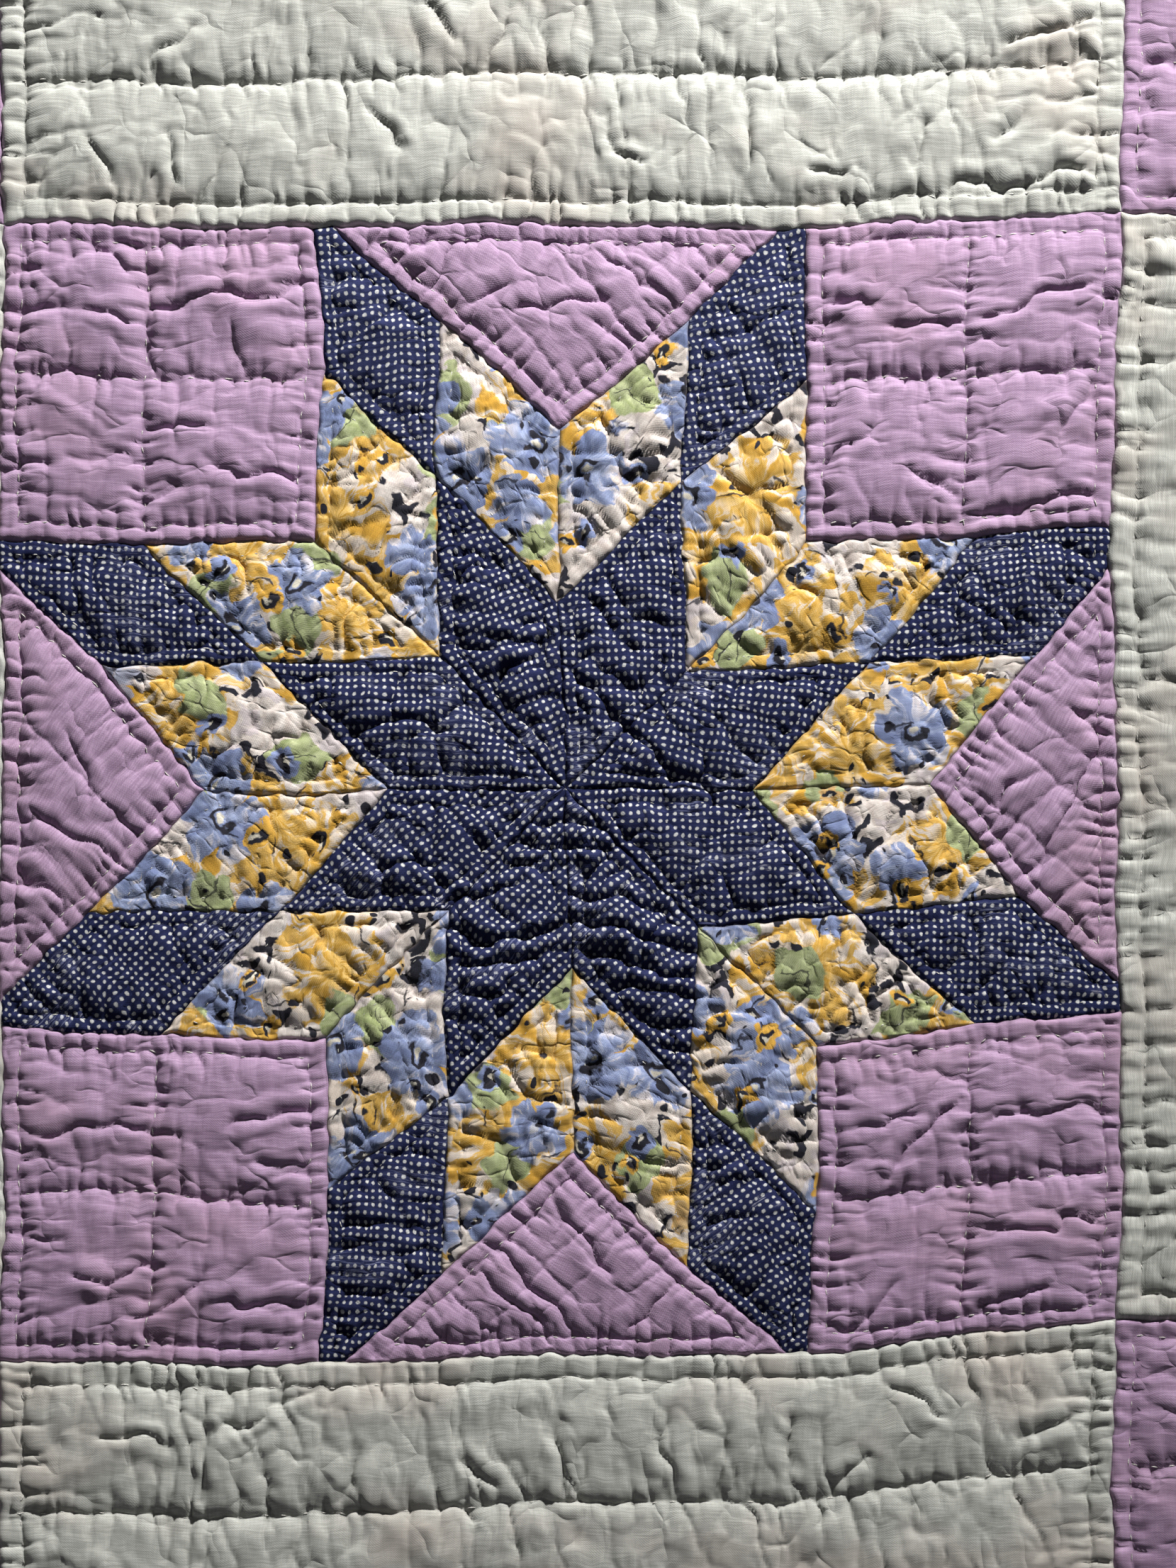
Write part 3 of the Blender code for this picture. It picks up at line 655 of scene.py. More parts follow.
class Finish:
    """A material of one cloth. add() makes any node from its settings and its sockets' values or links."""

    def __init__(self, name, roughness, sheen):
        self.material = bpy.data.materials.new(name)
        self.material.use_nodes = True
        self.tree = self.material.node_tree
        self.shader = self.tree.nodes["Principled BSDF"]
        self.shader.inputs["Roughness"].default_value = roughness
        self.shader.inputs["Specular IOR Level"].default_value = 0.25
        self.shader.inputs["Sheen Weight"].default_value = sheen
        self.shader.inputs["Sheen Roughness"].default_value = 0.5

    def add(self, kind, settings, sockets, out=0):
        node = self.tree.nodes.new(kind)
        for key, value in settings.items():
            setattr(node, key, value)
        for key, value in sockets.items():
            if isinstance(value, Wire):
                self.tree.links.new(value.out, node.inputs[key])
            else:
                node.inputs[key].default_value = value
        return Wire(self, node.outputs[out])

    def other(self, wire, out):
        """Another output of the node that a wire comes from."""
        return Wire(self, wire.out.node.outputs[out])

    def plan(self):
        return self.add("ShaderNodeUVMap", {"uv_map": "cloth"}, {})

    def scaled(self, vector, x, y):
        return self.add("ShaderNodeVectorMath", {"operation": "MULTIPLY"}, {0: vector, 1: (x, y, 1.0)})

    def moved(self, vector, x, y):
        return self.add("ShaderNodeVectorMath", {"operation": "ADD"}, {0: vector, 1: (x, y, 0.0)})

    def bent(self, vector, bend, x, y):
        """A vector with another one added to it, x and y times."""
        sockets = {0: bend, 1: (x, y, 0.0), 2: vector}
        return self.add("ShaderNodeVectorMath", {"operation": "MULTIPLY_ADD"}, sockets)

    def parts(self, vector):
        split = self.add("ShaderNodeSeparateXYZ", {}, {0: vector})
        return split, self.other(split, 1)

    def noise(self, vector, x, y, detail=2.0, roughness=0.5, out=0):
        """Smooth noise of a vector that is scaled by x and y."""
        place = self.scaled(vector, x, y)
        sockets = {"Vector": place, "Scale": 1.0, "Detail": detail, "Roughness": roughness}
        return self.add("ShaderNodeTexNoise", {"noise_dimensions": "2D"}, sockets, out)

    def mix(self, factor, a, b, blend="MIX"):
        a = (*a, 1.0) if isinstance(a, tuple) else a
        b = (*b, 1.0) if isinstance(b, tuple) else b
        settings = {"data_type": "RGBA", "blend_type": blend}
        return self.add("ShaderNodeMix", settings, {0: factor, 6: a, 7: b}, 2)

    def lift(self):
        return self.add("ShaderNodeAttribute", {"attribute_name": "lift"}, {}, 2)

    def paint(self, colour, height, depth=0.0001, strength=0.6):
        """Wires the colour in, and the height as a bump of so many metres."""
        self.tree.links.new(colour.out, self.shader.inputs["Base Color"])
        bump = self.add("ShaderNodeBump", {}, {"Strength": strength, "Distance": depth, "Height": height})
        self.tree.links.new(bump.out, self.shader.inputs["Normal"])

    def weave(self, plan, warp=0.34, weft=0.28):
        """Plain weave: one thread over the next, as the product of two sines, thread by thread."""
        u, v = self.parts(plan)
        return (u * (math.pi / warp)).math("SINE") * (v * (math.pi / weft)).math("SINE")

    def slubs(self, plan):
        """Thicker and thinner threads: noise drawn out along the weft, and more weakly along the warp."""
        weft = self.noise(plan, 0.10, 1.9, 3.0, 0.75)
        warp = self.noise(self.moved(plan, 40.0, 7.0), 1.9, 0.14, 3.0, 0.75)
        return weft * 0.74 + warp * 0.26

    def crinkles(self, plan, long, short, keep):
        """Fine sharp creases where the cloth was crushed in washing: the borders between scattered cells of
        about long by short millimetres, bent, that come and go over a few centimetres."""
        bend = self.noise(plan, 1.4 / long, 1.4 / short, 2.0, out=1)
        place = self.bent(plan, bend, 0.32 * long, 0.32 * short)
        settings = {"voronoi_dimensions": "2D", "feature": "DISTANCE_TO_EDGE"}
        sockets = {"Vector": self.scaled(place, 1 / long, 1 / short), "Scale": 1.0, "Randomness": 0.9}
        edge = self.add("ShaderNodeTexVoronoi", settings, sockets)
        coming = self.noise(self.moved(plan, 3.0, 88.0), 1.1 / long, 1.1 / short, 1.0)
        line = edge.below(0.0, 0.12) ** 1.5 * 0.5 + edge.below(0.0, 0.45) ** 2.0 * 0.5
        return line * coming.above(0.60 - 0.3 * keep, 0.80 - 0.3 * keep)

    def painted_groove_shade(self, colour, dark, crinkle):
        """A cloth's colour with painted shade: darker in its grooves, at its seams and in its fine creases.
        """
        deep = self.lift().below(0.02, 0.40) * 0.55
        sharp = (crinkle - 0.4).math("MAXIMUM", 0.0) * 0.25
        return self.mix((deep + sharp).math("MINIMUM", 0.8), colour, dark)


def back_cloth():
    """Plain washed cotton, off white, with slubs and a little yellowing."""
    cloth = Finish("back_cotton", roughness=0.92, sheen=0.15)
    plan = cloth.plan()
    slub = cloth.slubs(plan)
    colour = cloth.mix(slub.above(0.35, 0.68), (0.60, 0.57, 0.50), (0.72, 0.70, 0.64))
    old = cloth.noise(plan, 0.02, 0.02, 3.0)
    colour = cloth.mix(old.above(0.5, 0.75) * 0.35, colour, (0.60, 0.53, 0.42))
    cloth.paint(colour, slub * 0.6 + cloth.weave(plan) * 0.2)
    return cloth.material


def walked(path, t):
    """Points at shares t of a path's length."""
    step = np.r_[0, np.cumsum(np.linalg.norm(np.diff(path, axis=0), axis=1))]
    return np.stack([np.interp(t * step[-1], step, path[:, k]) for k in (0, 1)], -1)


def between(low, high, left, right, across, up):
    """A net of points between four paths: the two pairs of opposite paths, each mixed straight across, added,
    less the mix of the four corners. Low and high run to the right, left and right run upwards."""
    u = across[None, :, None]
    v = up[:, None, None]
    net = walked(low, across)[None] * (1 - v) + walked(high, across)[None] * v
    net += walked(left, up)[:, None] * (1 - u) + walked(right, up)[:, None] * u
    net -= low[0] * (1 - u) * (1 - v) + low[-1] * u * (1 - v) + high[-1] * u * v + high[0] * (1 - u) * v
    return net


def quilt_back():
    """The flat back on the table: a net between the quilt's four crooked edges, bowl-shaped at its rim, where
    it is turned up to meet the top. Its faces look down."""
    def edge(first, second, end):
        near, far = CORNERS[first], CORNERS[second]
        return np.array([near[2], near[end], far[end], far[2]])

    t = np.concatenate([[0, 0.0012, 0.004], np.linspace(0.012, 0.988, 70), [0.996, 0.9988, 1]])
    plan = between(edge("sw", "se", 1), edge("nw", "ne", 1), edge("sw", "nw", 3), edge("se", "ne", 3), t, t)
    share = np.minimum(t, 1 - t)
    inwards = np.minimum(share[None, :], share[:, None]) * 490
    points = settled(plan[..., 0], plan[..., 1])
    points[..., 2] = LOWEST_Z * np.exp(-inwards / 0.6)
    quads = net_faces(len(t), len(t))[:, ::-1]
    return make_piece("quilt_back", points.reshape(-1, 3), quads, plan.reshape(-1, 2))


back = quilt_back()
back.data.materials.append(back_cloth())
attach(back, "root")
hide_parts("quilt")


# Inner and tip diamonds of the star.
# Sixteen small 45 degree diamonds of navy cotton printed with rows of off-white pin dots, cut at odd angles
# to the dots, hand-pieced with their seams turned under, then quilted a sixth of an inch inside every seam.
def stations(length, line, crossed, fine):
    """Places along a side, from 0 to 1: close together by the seams, where the cloth rolls under, and where
    quilted lines run, line millimetres in from each end and, if crossed, half-way. Between them the spacing
    is the inverse of a density, fine at least, that is summed and divided evenly."""
    rolled = np.array([0.0, 0.35, 0.8, 1.4])
    s = np.linspace(2.0, length - 2.0, 1500)
    close = np.exp(-(((np.minimum(s, length - s) - line) / 1.7) ** 4))
    if crossed:
        close += np.exp(-(((s - 0.5 * length) / 4.0) ** 4))
    total = np.cumsum(fine + 0.40 * np.minimum(close, 1)) * (s[1] - s[0])
    middle = np.interp(np.linspace(total[0], total[-1], max(2, round(total[-1]))), total, s)
    return np.concatenate([rolled, middle, length - rolled[::-1]]) / length


def longer(*paths):
    """Length of the longest of some paths."""
    return max(np.linalg.norm(np.diff(path, axis=0), axis=1).sum() for path in paths)


# Net points a millimetre, in the patches that fill the photograph and in those at its edge, and how much
# further in a quilted line lies along a diamond's slanting sides
FINE = 1.23
COARSE = 0.85
SLANT = 1.35

# A patch's rim under the next one: how far out and down it is turned, and its least height
RIM_OUT = 0.10
RIM_DOWN = 1.0
RIM_Z = 0.3


def sew_patch(name, sides, turn, shift, material):
    """One patch of the top. Its plan is blended from its four sides. It is lifted to the quilt's height, dips
    at its seams as a bell curve of half a millimetre, and its rim is turned down under the next patch."""
    first, second, third, fourth = sides
    kind = name.split("_")[0]
    line = QUILTING[kind][0] * (SLANT if "diamond" in name else 1.0)
    fine = COARSE if kind == "cornerstone" or name in UPRIGHT_SASHES else FINE
    across = stations(longer(first, third), line, kind in ("corner", "cornerstone"), fine)
    up = stations(longer(second, fourth), line, kind in ("corner", "cornerstone", "sash"), fine)
    plan = between(first, third[::-1], fourth[::-1], second, across, up)
    outline = outline_of(sides)
    x = plan[..., 0]
    y = plan[..., 1]
    seam = from_edges(x, y, outline)
    points = settled(x, y)
    points[..., 2] -= 0.5 * np.exp(-((seam / 0.55) ** 2))
    # The lift drives painted highlight on the puffs and painted shade in the grooves; it is pulled down at
    # the seams for painted seam shade
    lift = np.clip(0.5 + on_net(top_bulge, x, y), 0, 1) * (1 - 0.8 * np.exp(-((seam / 0.5) ** 2)))
    rows, columns = x.shape
    i = np.clip(np.arange(-1, columns + 1), 0, columns - 1)
    j = np.clip(np.arange(-1, rows + 1), 0, rows - 1)
    inner = points[np.clip(j, 1, rows - 2)][:, np.clip(i, 1, columns - 2)]
    points = points[j][:, i]
    outward = points[..., :2] - inner[..., :2]
    outward /= np.linalg.norm(outward, axis=-1)[..., None] + 1e-9
    rim = np.ones((rows + 2, columns + 2), bool)
    rim[1:-1, 1:-1] = False
    points[..., :2] += RIM_OUT * outward * rim[..., None]
    points[..., 2] = np.where(rim, np.maximum(points[..., 2] - RIM_DOWN, RIM_Z), points[..., 2])
    middle = outline.mean(0)
    cos, sin = math.cos(turn), math.sin(turn)
    dx = x - middle[0]
    dy = y - middle[1]
    uv = np.stack([dx * cos + dy * sin + shift[0], dy * cos - dx * sin + shift[1]], -1)[j][:, i]
    piece = make_piece(name, points.reshape(-1, 3), net_faces(rows + 2, columns + 2), uv.reshape(-1, 2),
                       lift[j][:, i].ravel())
    piece.data.materials.append(material)
    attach(piece, "root")
    along = outline @ np.array([[cos, -sin], [sin, cos]])
    width, length = np.ptp(along, axis=0) * METRES
    px, py = outline.T
    area = 0.5 * np.sum(px * np.roll(py, -1) - py * np.roll(px, -1)) * 1e-6
    flat_sizes[name] = (round(width * 1000), round(length * 1000), round(area * 1e6))


def rounded(table, times):
    """A table smoothed by repeated averages of each value with its four neighbours."""
    for _ in range(times):
        total = table + np.roll(table, 1, 0) + np.roll(table, -1, 0)
        table = (total + np.roll(table, 1, 1) + np.roll(table, -1, 1)) / 5
    return table


# How far the cloth stands up out of its surroundings: its height rounded a little, less that rounded a lot;
# the materials paint highlight and shade from it
top_bulge = 0.55 * (rounded(top_height, times=3) - rounded(top_height, times=40))
flat_sizes = {}


def pin_dot_cotton(name, dark, light, wear):
    """Indigo ground with slubs and round dots, each a little off its place in even rows, and paler thread by
    thread where it is worn; a painted highlight lightens it on the puffs, and painted shade darkens it in the
    grooves."""
    wide, high = 2.04, 2.12
    cloth = Finish(name, roughness=0.9, sheen=0.0)
    cloth.shader.inputs["Specular IOR Level"].default_value = 0.08
    plan = cloth.plan()
    shake = cloth.noise(plan, 0.7, 0.7, 1.0, out=1)
    u, v = cloth.parts(cloth.bent(plan, shake, 0.42, 0.42))
    across = (u / wide).math("FRACT") - 0.5
    down = (v / high).math("FRACT") - 0.5
    reach = ((across * wide) ** 2.0 + (down * high) ** 2.0).math("SQRT")
    fine = cloth.noise(plan, 1.1, 5.0, 2.0, 0.7)
    dot = (reach + (fine - 0.5) * 0.22).below(0.36, 0.60)
    slub = cloth.slubs(plan)
    ground = cloth.mix(slub.above(0.3, 0.7), dark, light)
    # Painted highlight: the ground a lighter blue where the cloth stands up
    ground = cloth.mix(cloth.lift().above(0.50, 1.0) * 0.35, ground, (0.062, 0.075, 0.19))
    print_colour = cloth.mix(fine.above(0.3, 0.7), (0.42, 0.43, 0.45), (0.74, 0.74, 0.72))
    colour = cloth.mix(dot * 0.92, ground, print_colour)
    worn = cloth.noise(plan, 0.035, 0.05, 3.0, 0.6).above(0.55, 0.68)
    threads = cloth.noise(plan, 0.16, 2.6, 4.0, 0.7).above(0.50, 0.62)
    colour = cloth.mix(worn * threads * wear, colour, (0.24, 0.26, 0.42))
    spent = cloth.noise(cloth.moved(plan, 60.0, 9.0), 0.10, 0.13, 2.0, 0.6).above(0.70, 0.76)
    colour = cloth.mix(spent * threads * 0.7, colour, (0.40, 0.40, 0.50))
    crinkle = cloth.crinkles(plan, long=11.0, short=6.0, keep=0.6)
    # Painted shade: near black in the grooves, at the seams and in the fine creases
    colour = cloth.painted_groove_shade(colour, (0.003, 0.004, 0.011), crinkle * 1.5)
    cloth.paint(colour, slub * 0.9 + cloth.weave(plan) * 0.25 - crinkle * 5.5)
    return cloth.material


pin_dot = pin_dot_cotton("navy_pin_dot_cotton", dark=(0.0065, 0.0085, 0.031), light=(0.023, 0.029, 0.094),
                         wear=0.6)
rubbed = pin_dot_cotton("rubbed_pin_dot_cotton", dark=(0.010, 0.013, 0.042), light=(0.036, 0.044, 0.122),
                        wear=0.8)

# Turn of the dots in each small diamond, in degrees, clockwise from the top: inner pieces, tip pieces
DOT_TURNS = {
    "inner": (2, -8, 3, 42, 44, 38, -3, 24),
    "tip": (12, 2, -3, 36, -4, 44, -3, 4),
}

for kind, turns in DOT_TURNS.items():
    pieces = [patch for patch in patches if patch[0].startswith(f"{kind}_diamond")]
    for k, ((name, sides), turn) in enumerate(zip(pieces, turns)):
        cotton = rubbed if name in ("tip_diamond_n_ne", "tip_diamond_nw_n") else pin_dot
        sew_patch(name, sides, math.radians(turn), (150 + 61.7 * k, 80 + 37.1 * k), cotton)


# Middle diamonds of the star.
# Sixteen small diamonds of dress cotton with a crowded print of yellow and periwinkle blooms, leaves and dark
# specks on cream, each cut from another place of the print and sewn like the navy ones.
def printed_cotton():
    """Motifs are rims round scattered centres: a point belongs to one if its distance from the nearest centre
    is less than a radius that swings with the angle. Layers lie over each other, with brushed edges."""
    cloth = Finish("floral_print_cotton", roughness=0.9, sheen=0.12)
    plan = cloth.plan()
    broad = cloth.noise(plan, 0.14, 0.14, 1.0, out=1)
    fine = cloth.noise(plan, 0.6, 0.6, 2.0, out=1)
    brushed = cloth.bent(cloth.scaled(plan, 0.76, 0.76), broad, 5.0, 5.0)
    brushed = cloth.bent(brushed, fine, 1.0, 1.0)
    ink = (0.016, 0.016, 0.028)

    def scattered(pitch, x, y, evenness=0.8):
        """Centres about a pitch apart, moved by x and y: distance, angle from a random direction, and two
        random numbers."""
        place = cloth.moved(brushed, x, y)
        chance = cloth.add("ShaderNodeTexVoronoi", {"voronoi_dimensions": "2D", "feature": "F1"},
                           {"Vector": place, "Scale": 1 / pitch, "Randomness": evenness}, 1)
        centre = cloth.other(chance, 2)
        offset = cloth.add("ShaderNodeVectorMath", {"operation": "SUBTRACT"}, {0: place, 1: centre})
        across, up = cloth.parts(offset)
        red = cloth.add("ShaderNodeSeparateColor", {}, {0: chance})
        distance = (across * across + up * up).math("SQRT")
        angle = up.math("ARCTAN2", across) + red * 6.283
        return distance, angle, cloth.other(red, 1), cloth.other(red, 2)

    def brush_marks(angle, distance, count):
        """Streaks that run out from a centre: noise round a circle, drawn along slowly with the distance."""
        polar = cloth.add("ShaderNodeCombineXYZ", {}, {0: angle.math("COSINE") * count + distance * 0.10,
                                                       1: angle.math("SINE") * count, 2: 0.0})
        return cloth.noise(polar, 1.0, 1.0, 3.0, 0.65)

    def by_axis(distance, angle):
        """How far along and beside a motif's own direction a point is."""
        return distance * angle.math("COSINE"), distance * angle.math("SINE")

    def filled(distance, rim):
        """1 within a rim, with a soft edge."""
        return (distance - rim).below(-0.22, 0.22)

    def eyed(colour, distance, angle, radius, there):
        """A pale middle with a thick inked ring round it, open on one side."""
        ring = (distance - radius).size().below(0.42, 0.72)
        gap = angle.math("COSINE").above(-0.70, -0.50)
        colour = cloth.mix(distance.below(0.7, 1.1) * there, colour, (0.74, 0.69, 0.58))
        return cloth.mix(ring * gap * there, colour, ink)

    streak = cloth.noise(brushed, 0.55, 0.16, 3.0, 0.65)
    colour = cloth.mix(streak.above(0.35, 0.7), (0.64, 0.555, 0.505), (0.82, 0.755, 0.71))
    mauve = cloth.noise(brushed, 0.12, 0.2, 2.0, 0.6).above(0.56, 0.62)
    colour = cloth.mix(mauve * 0.4, colour, (0.52, 0.46, 0.55))

    # Inked specks
    distance, angle, green, blue = scattered(pitch=9.0, x=11.0, y=3.0)
    rim = 1.1 + (1.4 + 2.0 * green) * (angle * 1.5).math("COSINE").size() ** 3.0
    speck = filled(distance, rim) * blue.above(0.14, 0.18)
    colour = cloth.mix(speck, colour, ink)

    # Large yellow blooms with pale brush marks
    distance, angle, green, _ = scattered(pitch=26.0, x=77.0, y=21.0)
    marks = brush_marks(angle, distance, 2.3)
    radius = 11.5 + 6.5 * green
    rim = radius * (0.66 + 0.28 * (angle * 2.0).math("COSINE").size() ** 0.6 + 0.45 * (marks - 0.5))
    yellow = cloth.mix(marks.above(0.36, 0.62), (0.62, 0.34, 0.045), (0.84, 0.56, 0.18))
    pale = marks.above(0.52, 0.58) * (distance / radius).above(0.20, 0.45)
    yellow = cloth.mix(pale * 0.92, yellow, (0.80, 0.71, 0.64))
    colour = cloth.mix(filled(distance, rim), colour, yellow)

    # Light green leaves, each with a dark vein
    distance, angle, _, blue = scattered(pitch=19.0, x=31.0, y=57.0)
    along, beside = by_axis(distance, angle)
    leaf = filled(beside.size(), 4.9 * (1.0 - (along / 7.2) ** 2.0)) * blue.above(0.36, 0.40)
    green_tint = cloth.mix(streak.above(0.3, 0.7), (0.32, 0.375, 0.165), (0.50, 0.54, 0.31))
    vein = (beside - 0.06 * along * along).size().below(0.10, 0.26)
    vein = vein * along.size().below(3.6, 4.0)
    colour = cloth.mix(leaf, colour, green_tint)
    colour = cloth.mix(vein * leaf * 0.85, colour, (0.045, 0.05, 0.04))

    # Periwinkle blooms, some with an inked eye
    distance, angle, green, blue = scattered(pitch=21.5, x=5.0, y=91.0)
    marks = brush_marks(angle, distance, 1.7)
    radius = 6.4 + 4.6 * green
    rim = radius * (0.52 + 0.40 * (angle * 2.5).math("COSINE").size() ** 0.55 + 0.38 * (marks - 0.5))
    there = filled(distance, rim) * blue.above(0.26, 0.30)
    blue_tint = cloth.mix(marks.above(0.36, 0.60), (0.185, 0.23, 0.41), (0.37, 0.43, 0.63))
    pale = marks.above(0.54, 0.61) * (distance / radius).above(0.30, 0.6)
    blue_tint = cloth.mix(pale * 0.92, blue_tint, (0.76, 0.70, 0.72))
    colour = cloth.mix(there, colour, blue_tint)
    colour = eyed(colour, distance, angle, 1.95, there * green.above(0.3, 0.34))

    # Small blooms of both colours
    distance, angle, green, blue = scattered(pitch=11.5, x=47.0, y=15.0)
    rim = (2.1 + 1.3 * green) * (0.60 + 0.40 * (angle * 2.5).math("COSINE").size() ** 0.5)
    there = filled(distance, rim)
    small = cloth.mix(blue.above(0.80, 0.81), (0.27, 0.33, 0.56), (0.74, 0.42, 0.07))
    there = there * blue.above(0.60, 0.62)
    colour = cloth.mix(there, colour, small)
    colour = eyed(colour, distance, angle, 1.0, there)

    # Short bent stems
    distance, angle, _, blue = scattered(pitch=13.0, x=63.0, y=44.0, evenness=0.9)
    along, beside = by_axis(distance, angle)
    line = (beside - 0.10 * along * along).size().below(0.14, 0.36)
    line = line * along.size().below(1.9, 2.5) * blue.above(0.45, 0.47)
    colour = cloth.mix(line * 0.9, colour, ink)

    # Groups of small ovals
    distance, angle, _, _ = scattered(pitch=4.6, x=23.0, y=74.0, evenness=0.35)
    along, beside = by_axis(distance, angle)
    oval = (along / 1.9) ** 2.0 + (beside / 1.15) ** 2.0
    group = cloth.noise(cloth.moved(plan, 9.0, 4.0), 0.11, 0.11, 1.0).above(0.68, 0.69)
    colour = cloth.mix(oval.below(0.7, 1.2) * group, colour, ink)

    slub = cloth.slubs(plan)
    shade = cloth.mix(slub.above(0.3, 0.7), (0.72, 0.72, 0.72), (1.02, 1.02, 1.02))
    colour = cloth.mix(1.0, colour, shade, "MULTIPLY")
    crinkle = cloth.crinkles(plan, long=8.0, short=5.5, keep=0.6)
    # Painted shade: darker in the grooves, at the seams and in the fine creases
    colour = cloth.painted_groove_shade(colour, (0.10, 0.075, 0.065), crinkle)
    cloth.paint(colour, slub * 0.9 + cloth.weave(plan) * 0.25 - crinkle * 5.5)
    return cloth.material


floral = printed_cotton()

for k, (name, sides) in enumerate(patches):
    if name.startswith("print_diamond"):
        sew_patch(name, sides, 0.9 * k, (300 + 53.0 * k, 210 - 41.0 * k), floral)


# Corner squares, side triangles and cornerstones.
# Plain lavender cotton, faded by washing: squares and cornerstones cut on the straight thread, triangles with
# the thread aslant. All are quilted round inside their seams, and squares and cornerstones also with a cross.
def plain_cotton(name, shade, light, stain, stain_share, crease_long, crease_short):
    """One dye, uneven thread by thread, paler on the puffs as a painted highlight with some rub wear, darker
    in the grooves and creases as painted shade, faintly stained.
    """
    cloth = Finish(name, roughness=0.9, sheen=0.18)
    plan = cloth.plan()
    slub = cloth.slubs(plan)
    colour = cloth.mix(slub.above(0.39, 0.61), shade, light)
    # Painted highlight on the puffs, partly rub wear: the cloth paler where it stands up
    puff_highlight_and_wear = tuple(min(1.0, c * 1.25 + 0.06) for c in light)
    colour = cloth.mix(cloth.lift().above(0.45, 1.0) * 0.22, colour, puff_highlight_and_wear)
    crinkle = cloth.crinkles(plan, crease_long, crease_short, keep=0.5)
    # Painted shade: darker in the grooves, at the seams and in the fine creases
    colour = cloth.painted_groove_shade(colour, tuple(c * 0.55 for c in shade), crinkle)
    broad = cloth.noise(plan, 0.018, 0.022, 3.0, 0.55)
    colour = cloth.mix(broad.above(0.50, 0.72) * stain_share, colour, stain)
    flecks = cloth.noise(plan, 0.6, 1.6, 2.0, 0.7).above(0.66, 0.74)
    colour = cloth.mix(flecks * 0.25, colour, tuple(c * 0.7 for c in shade))
    cloth.paint(colour, slub + cloth.weave(plan) * 0.22 - crinkle * 5.5, depth=0.00012)
    return cloth.material


lavender = plain_cotton("lavender_cotton", shade=(0.330, 0.213, 0.338), light=(0.470, 0.323, 0.480),
                        stain=(0.40, 0.250, 0.33), stain_share=0.4, crease_long=17.0, crease_short=9.0)

for k, (name, sides) in enumerate(patches):
    if name.startswith(("corner_square", "cornerstone")):
        sew_patch(name, sides, math.radians(1.5), (400 + 97.0 * k, 90 + 83.0 * k), lavender)
    if name.startswith("side_triangle"):
        aslant = math.radians(-32 if name.endswith(("_n", "_s")) else 58)
        sew_patch(name, sides, aslant, (91.0 * k, 700 - 57.0 * k), lavender)


# Sashes.
# Four strips of plain cotton in a pale grey green frame the block. They are sewn on after it, with a quilted
# line near each seam and one down the middle, and have a few warm age stains.
sage = plain_cotton("sage_cotton", shade=(0.395, 0.400, 0.370), light=(0.560, 0.568, 0.530),
                    stain=(0.49, 0.43, 0.385), stain_share=0.6, crease_long=14.0, crease_short=17.0)

for k, (name, sides) in enumerate(patches):
    if name.startswith("sash"):
        turn = math.pi / 2 if name in UPRIGHT_SASHES else 0.0
        sew_patch(name, sides, turn, (120.0 * k, 50.0 * k), sage)


# Quilting stitches.
# Running stitches by hand in off-white cotton thread, about five to the inch on the face, sunk into the
# grooves that they pull.
def stitch_rows():
    """Middle, direction and depth of every stitch: evenly along each quilted line, each a little off, and
    deeper in the star's small pieces."""
    rng = np.random.default_rng(5)
    middles = []
    directions = []
    sunk = []
    for a, b, _, spacing, owner in lines:
        length = np.linalg.norm(b - a)
        count = max(1, round(length / spacing))
        t = (np.arange(count) + 0.5 + rng.uniform(-0.13, 0.13, count)) / count
        middles.append(a + (b - a) * t[:, None])
        heading = math.atan2(*(b - a)[::-1]) + rng.normal(0, 0.09, count)
        directions.append(np.stack([np.cos(heading), np.sin(heading)], -1))
        sunk.append(np.full(count, 0.16 if "diamond" in owner else 0.0))
    return np.concatenate(middles), np.concatenate(directions), np.concatenate(sunk)


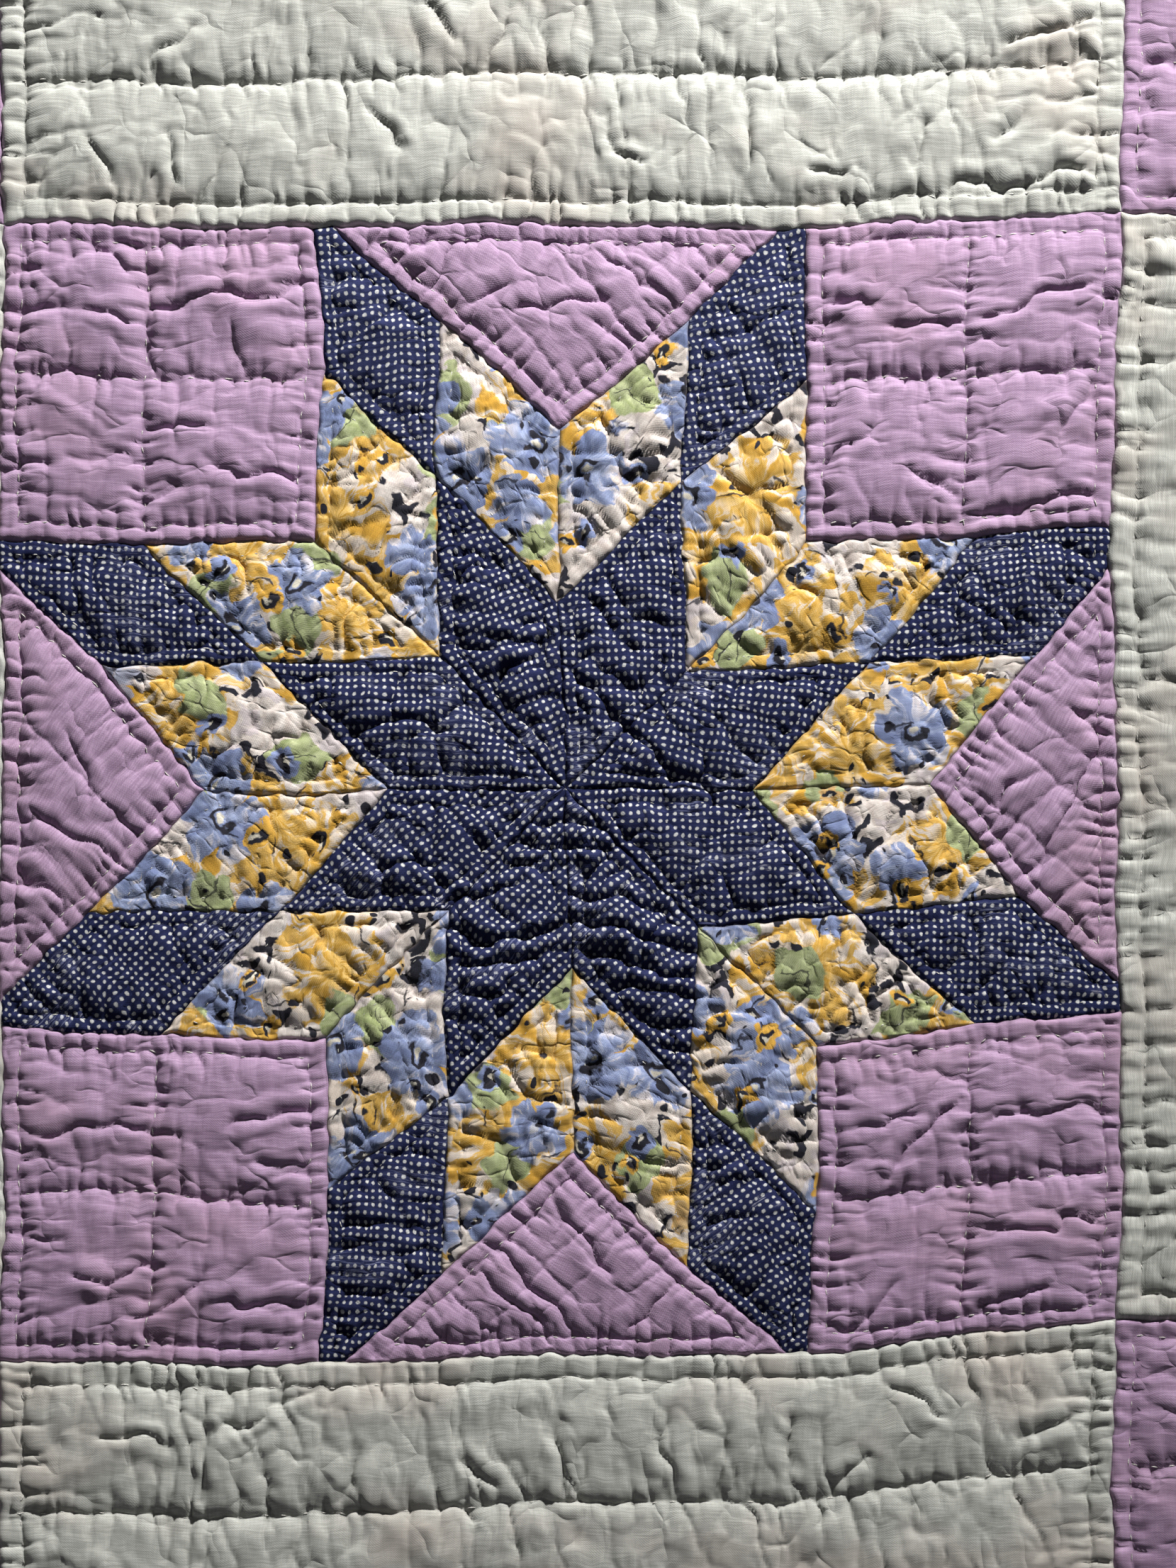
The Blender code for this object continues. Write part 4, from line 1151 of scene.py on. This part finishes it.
def sew_stitches():
    """A stitch is a round thread along a low arch: its middle line rises as a half sine, and its radius as
    that half sine's square root, so that both ends close where the thread enters the cloth."""
    thick, high, sunk_all = 0.19, 0.17, 0.08
    middles, directions, sunk = stitch_rows()
    t = np.linspace(0.0, 1.0, 6)
    turn = np.linspace(0, 2 * math.pi, 5)[:-1]
    rng = np.random.default_rng(6)
    long = (rng.uniform(1.7, 2.6, len(middles)) - 3 * sunk)[:, None]
    path = middles[:, None] + directions[:, None] * ((t - 0.5) * long)[..., None]
    ground = settled(path[..., 0], path[..., 1])
    arch = np.sin(math.pi * t)
    ground[..., 2] += high * arch - sunk_all - sunk[:, None]
    side = np.stack([-directions[:, 1], directions[:, 0], np.zeros(len(middles))], -1)
    radius = thick * np.sqrt(arch + 0.02)
    ring = np.cos(turn)[:, None, None] * side[None] + np.sin(turn)[:, None, None] * np.array([0, 0, 1.0])
    points = ground[:, :, None] + radius[None, :, None, None] * ring.transpose(1, 0, 2)[:, None]
    count, rows, around, _ = points.shape
    index = np.arange(count * rows * around).reshape(count, rows, around)
    shifted = np.roll(index, -1, 2)
    quads = np.stack([index[:, :-1], shifted[:, :-1], shifted[:, 1:], index[:, 1:]], -1).reshape(-1, 4)
    plan = np.stack([np.broadcast_to((t * 2.4)[None, :, None], points.shape[:3]),
                     np.broadcast_to(turn[None, None], points.shape[:3])], -1)
    return make_piece("quilting_stitches", points.reshape(-1, 3), quads[:, ::-1], plan.reshape(-1, 2))


def thread_cotton():
    """Two-ply thread: slanting sine ridges, darker between the plies as painted shade, and a little greyed by
    a noise.
    """
    cloth = Finish("quilting_thread", roughness=0.8, sheen=0.1)
    plan = cloth.plan()
    u, v = cloth.parts(plan)
    ply = (u * 9.0 + v).math("SINE") * 0.5 + 0.5
    worn = cloth.noise(plan, 3.0, 1.0, 2.0)
    # Painted shade between the plies, mixed with an uneven grey tone
    colour = cloth.mix(ply * 0.6 + worn * 0.4, (0.40, 0.39, 0.36), (0.66, 0.65, 0.61))
    cloth.paint(colour, ply, depth=0.00006)
    return cloth.material


stitches = sew_stitches()
stitches.data.materials.append(thread_cotton())
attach(stitches, "root")


# Table.
# A wide pale top, matt and faintly mottled, on which the quilt lies.
def table_top():
    """A flat square a little under the quilt's back, as a net of four by four faces."""
    half, under = 4000, 0.4
    t = np.linspace(-half, half, 5)
    x, y = np.meshgrid(t, t)
    points = np.stack([x, y, np.full(x.shape, -under)], -1)
    table = make_piece("table", points.reshape(-1, 3), net_faces(5, 5), points[..., :2].reshape(-1, 2))
    paint = Finish("pale_table", roughness=0.7, sheen=0.0)
    mottle = paint.noise(paint.plan(), 0.01, 0.01, 3.0)
    paint.paint(paint.mix(mottle, (0.60, 0.59, 0.575), (0.66, 0.65, 0.635)), mottle, strength=0.1)
    table.data.materials.append(paint.material)
    return table


table_top()

print("flat sizes, mm and mm2:", flat_sizes)
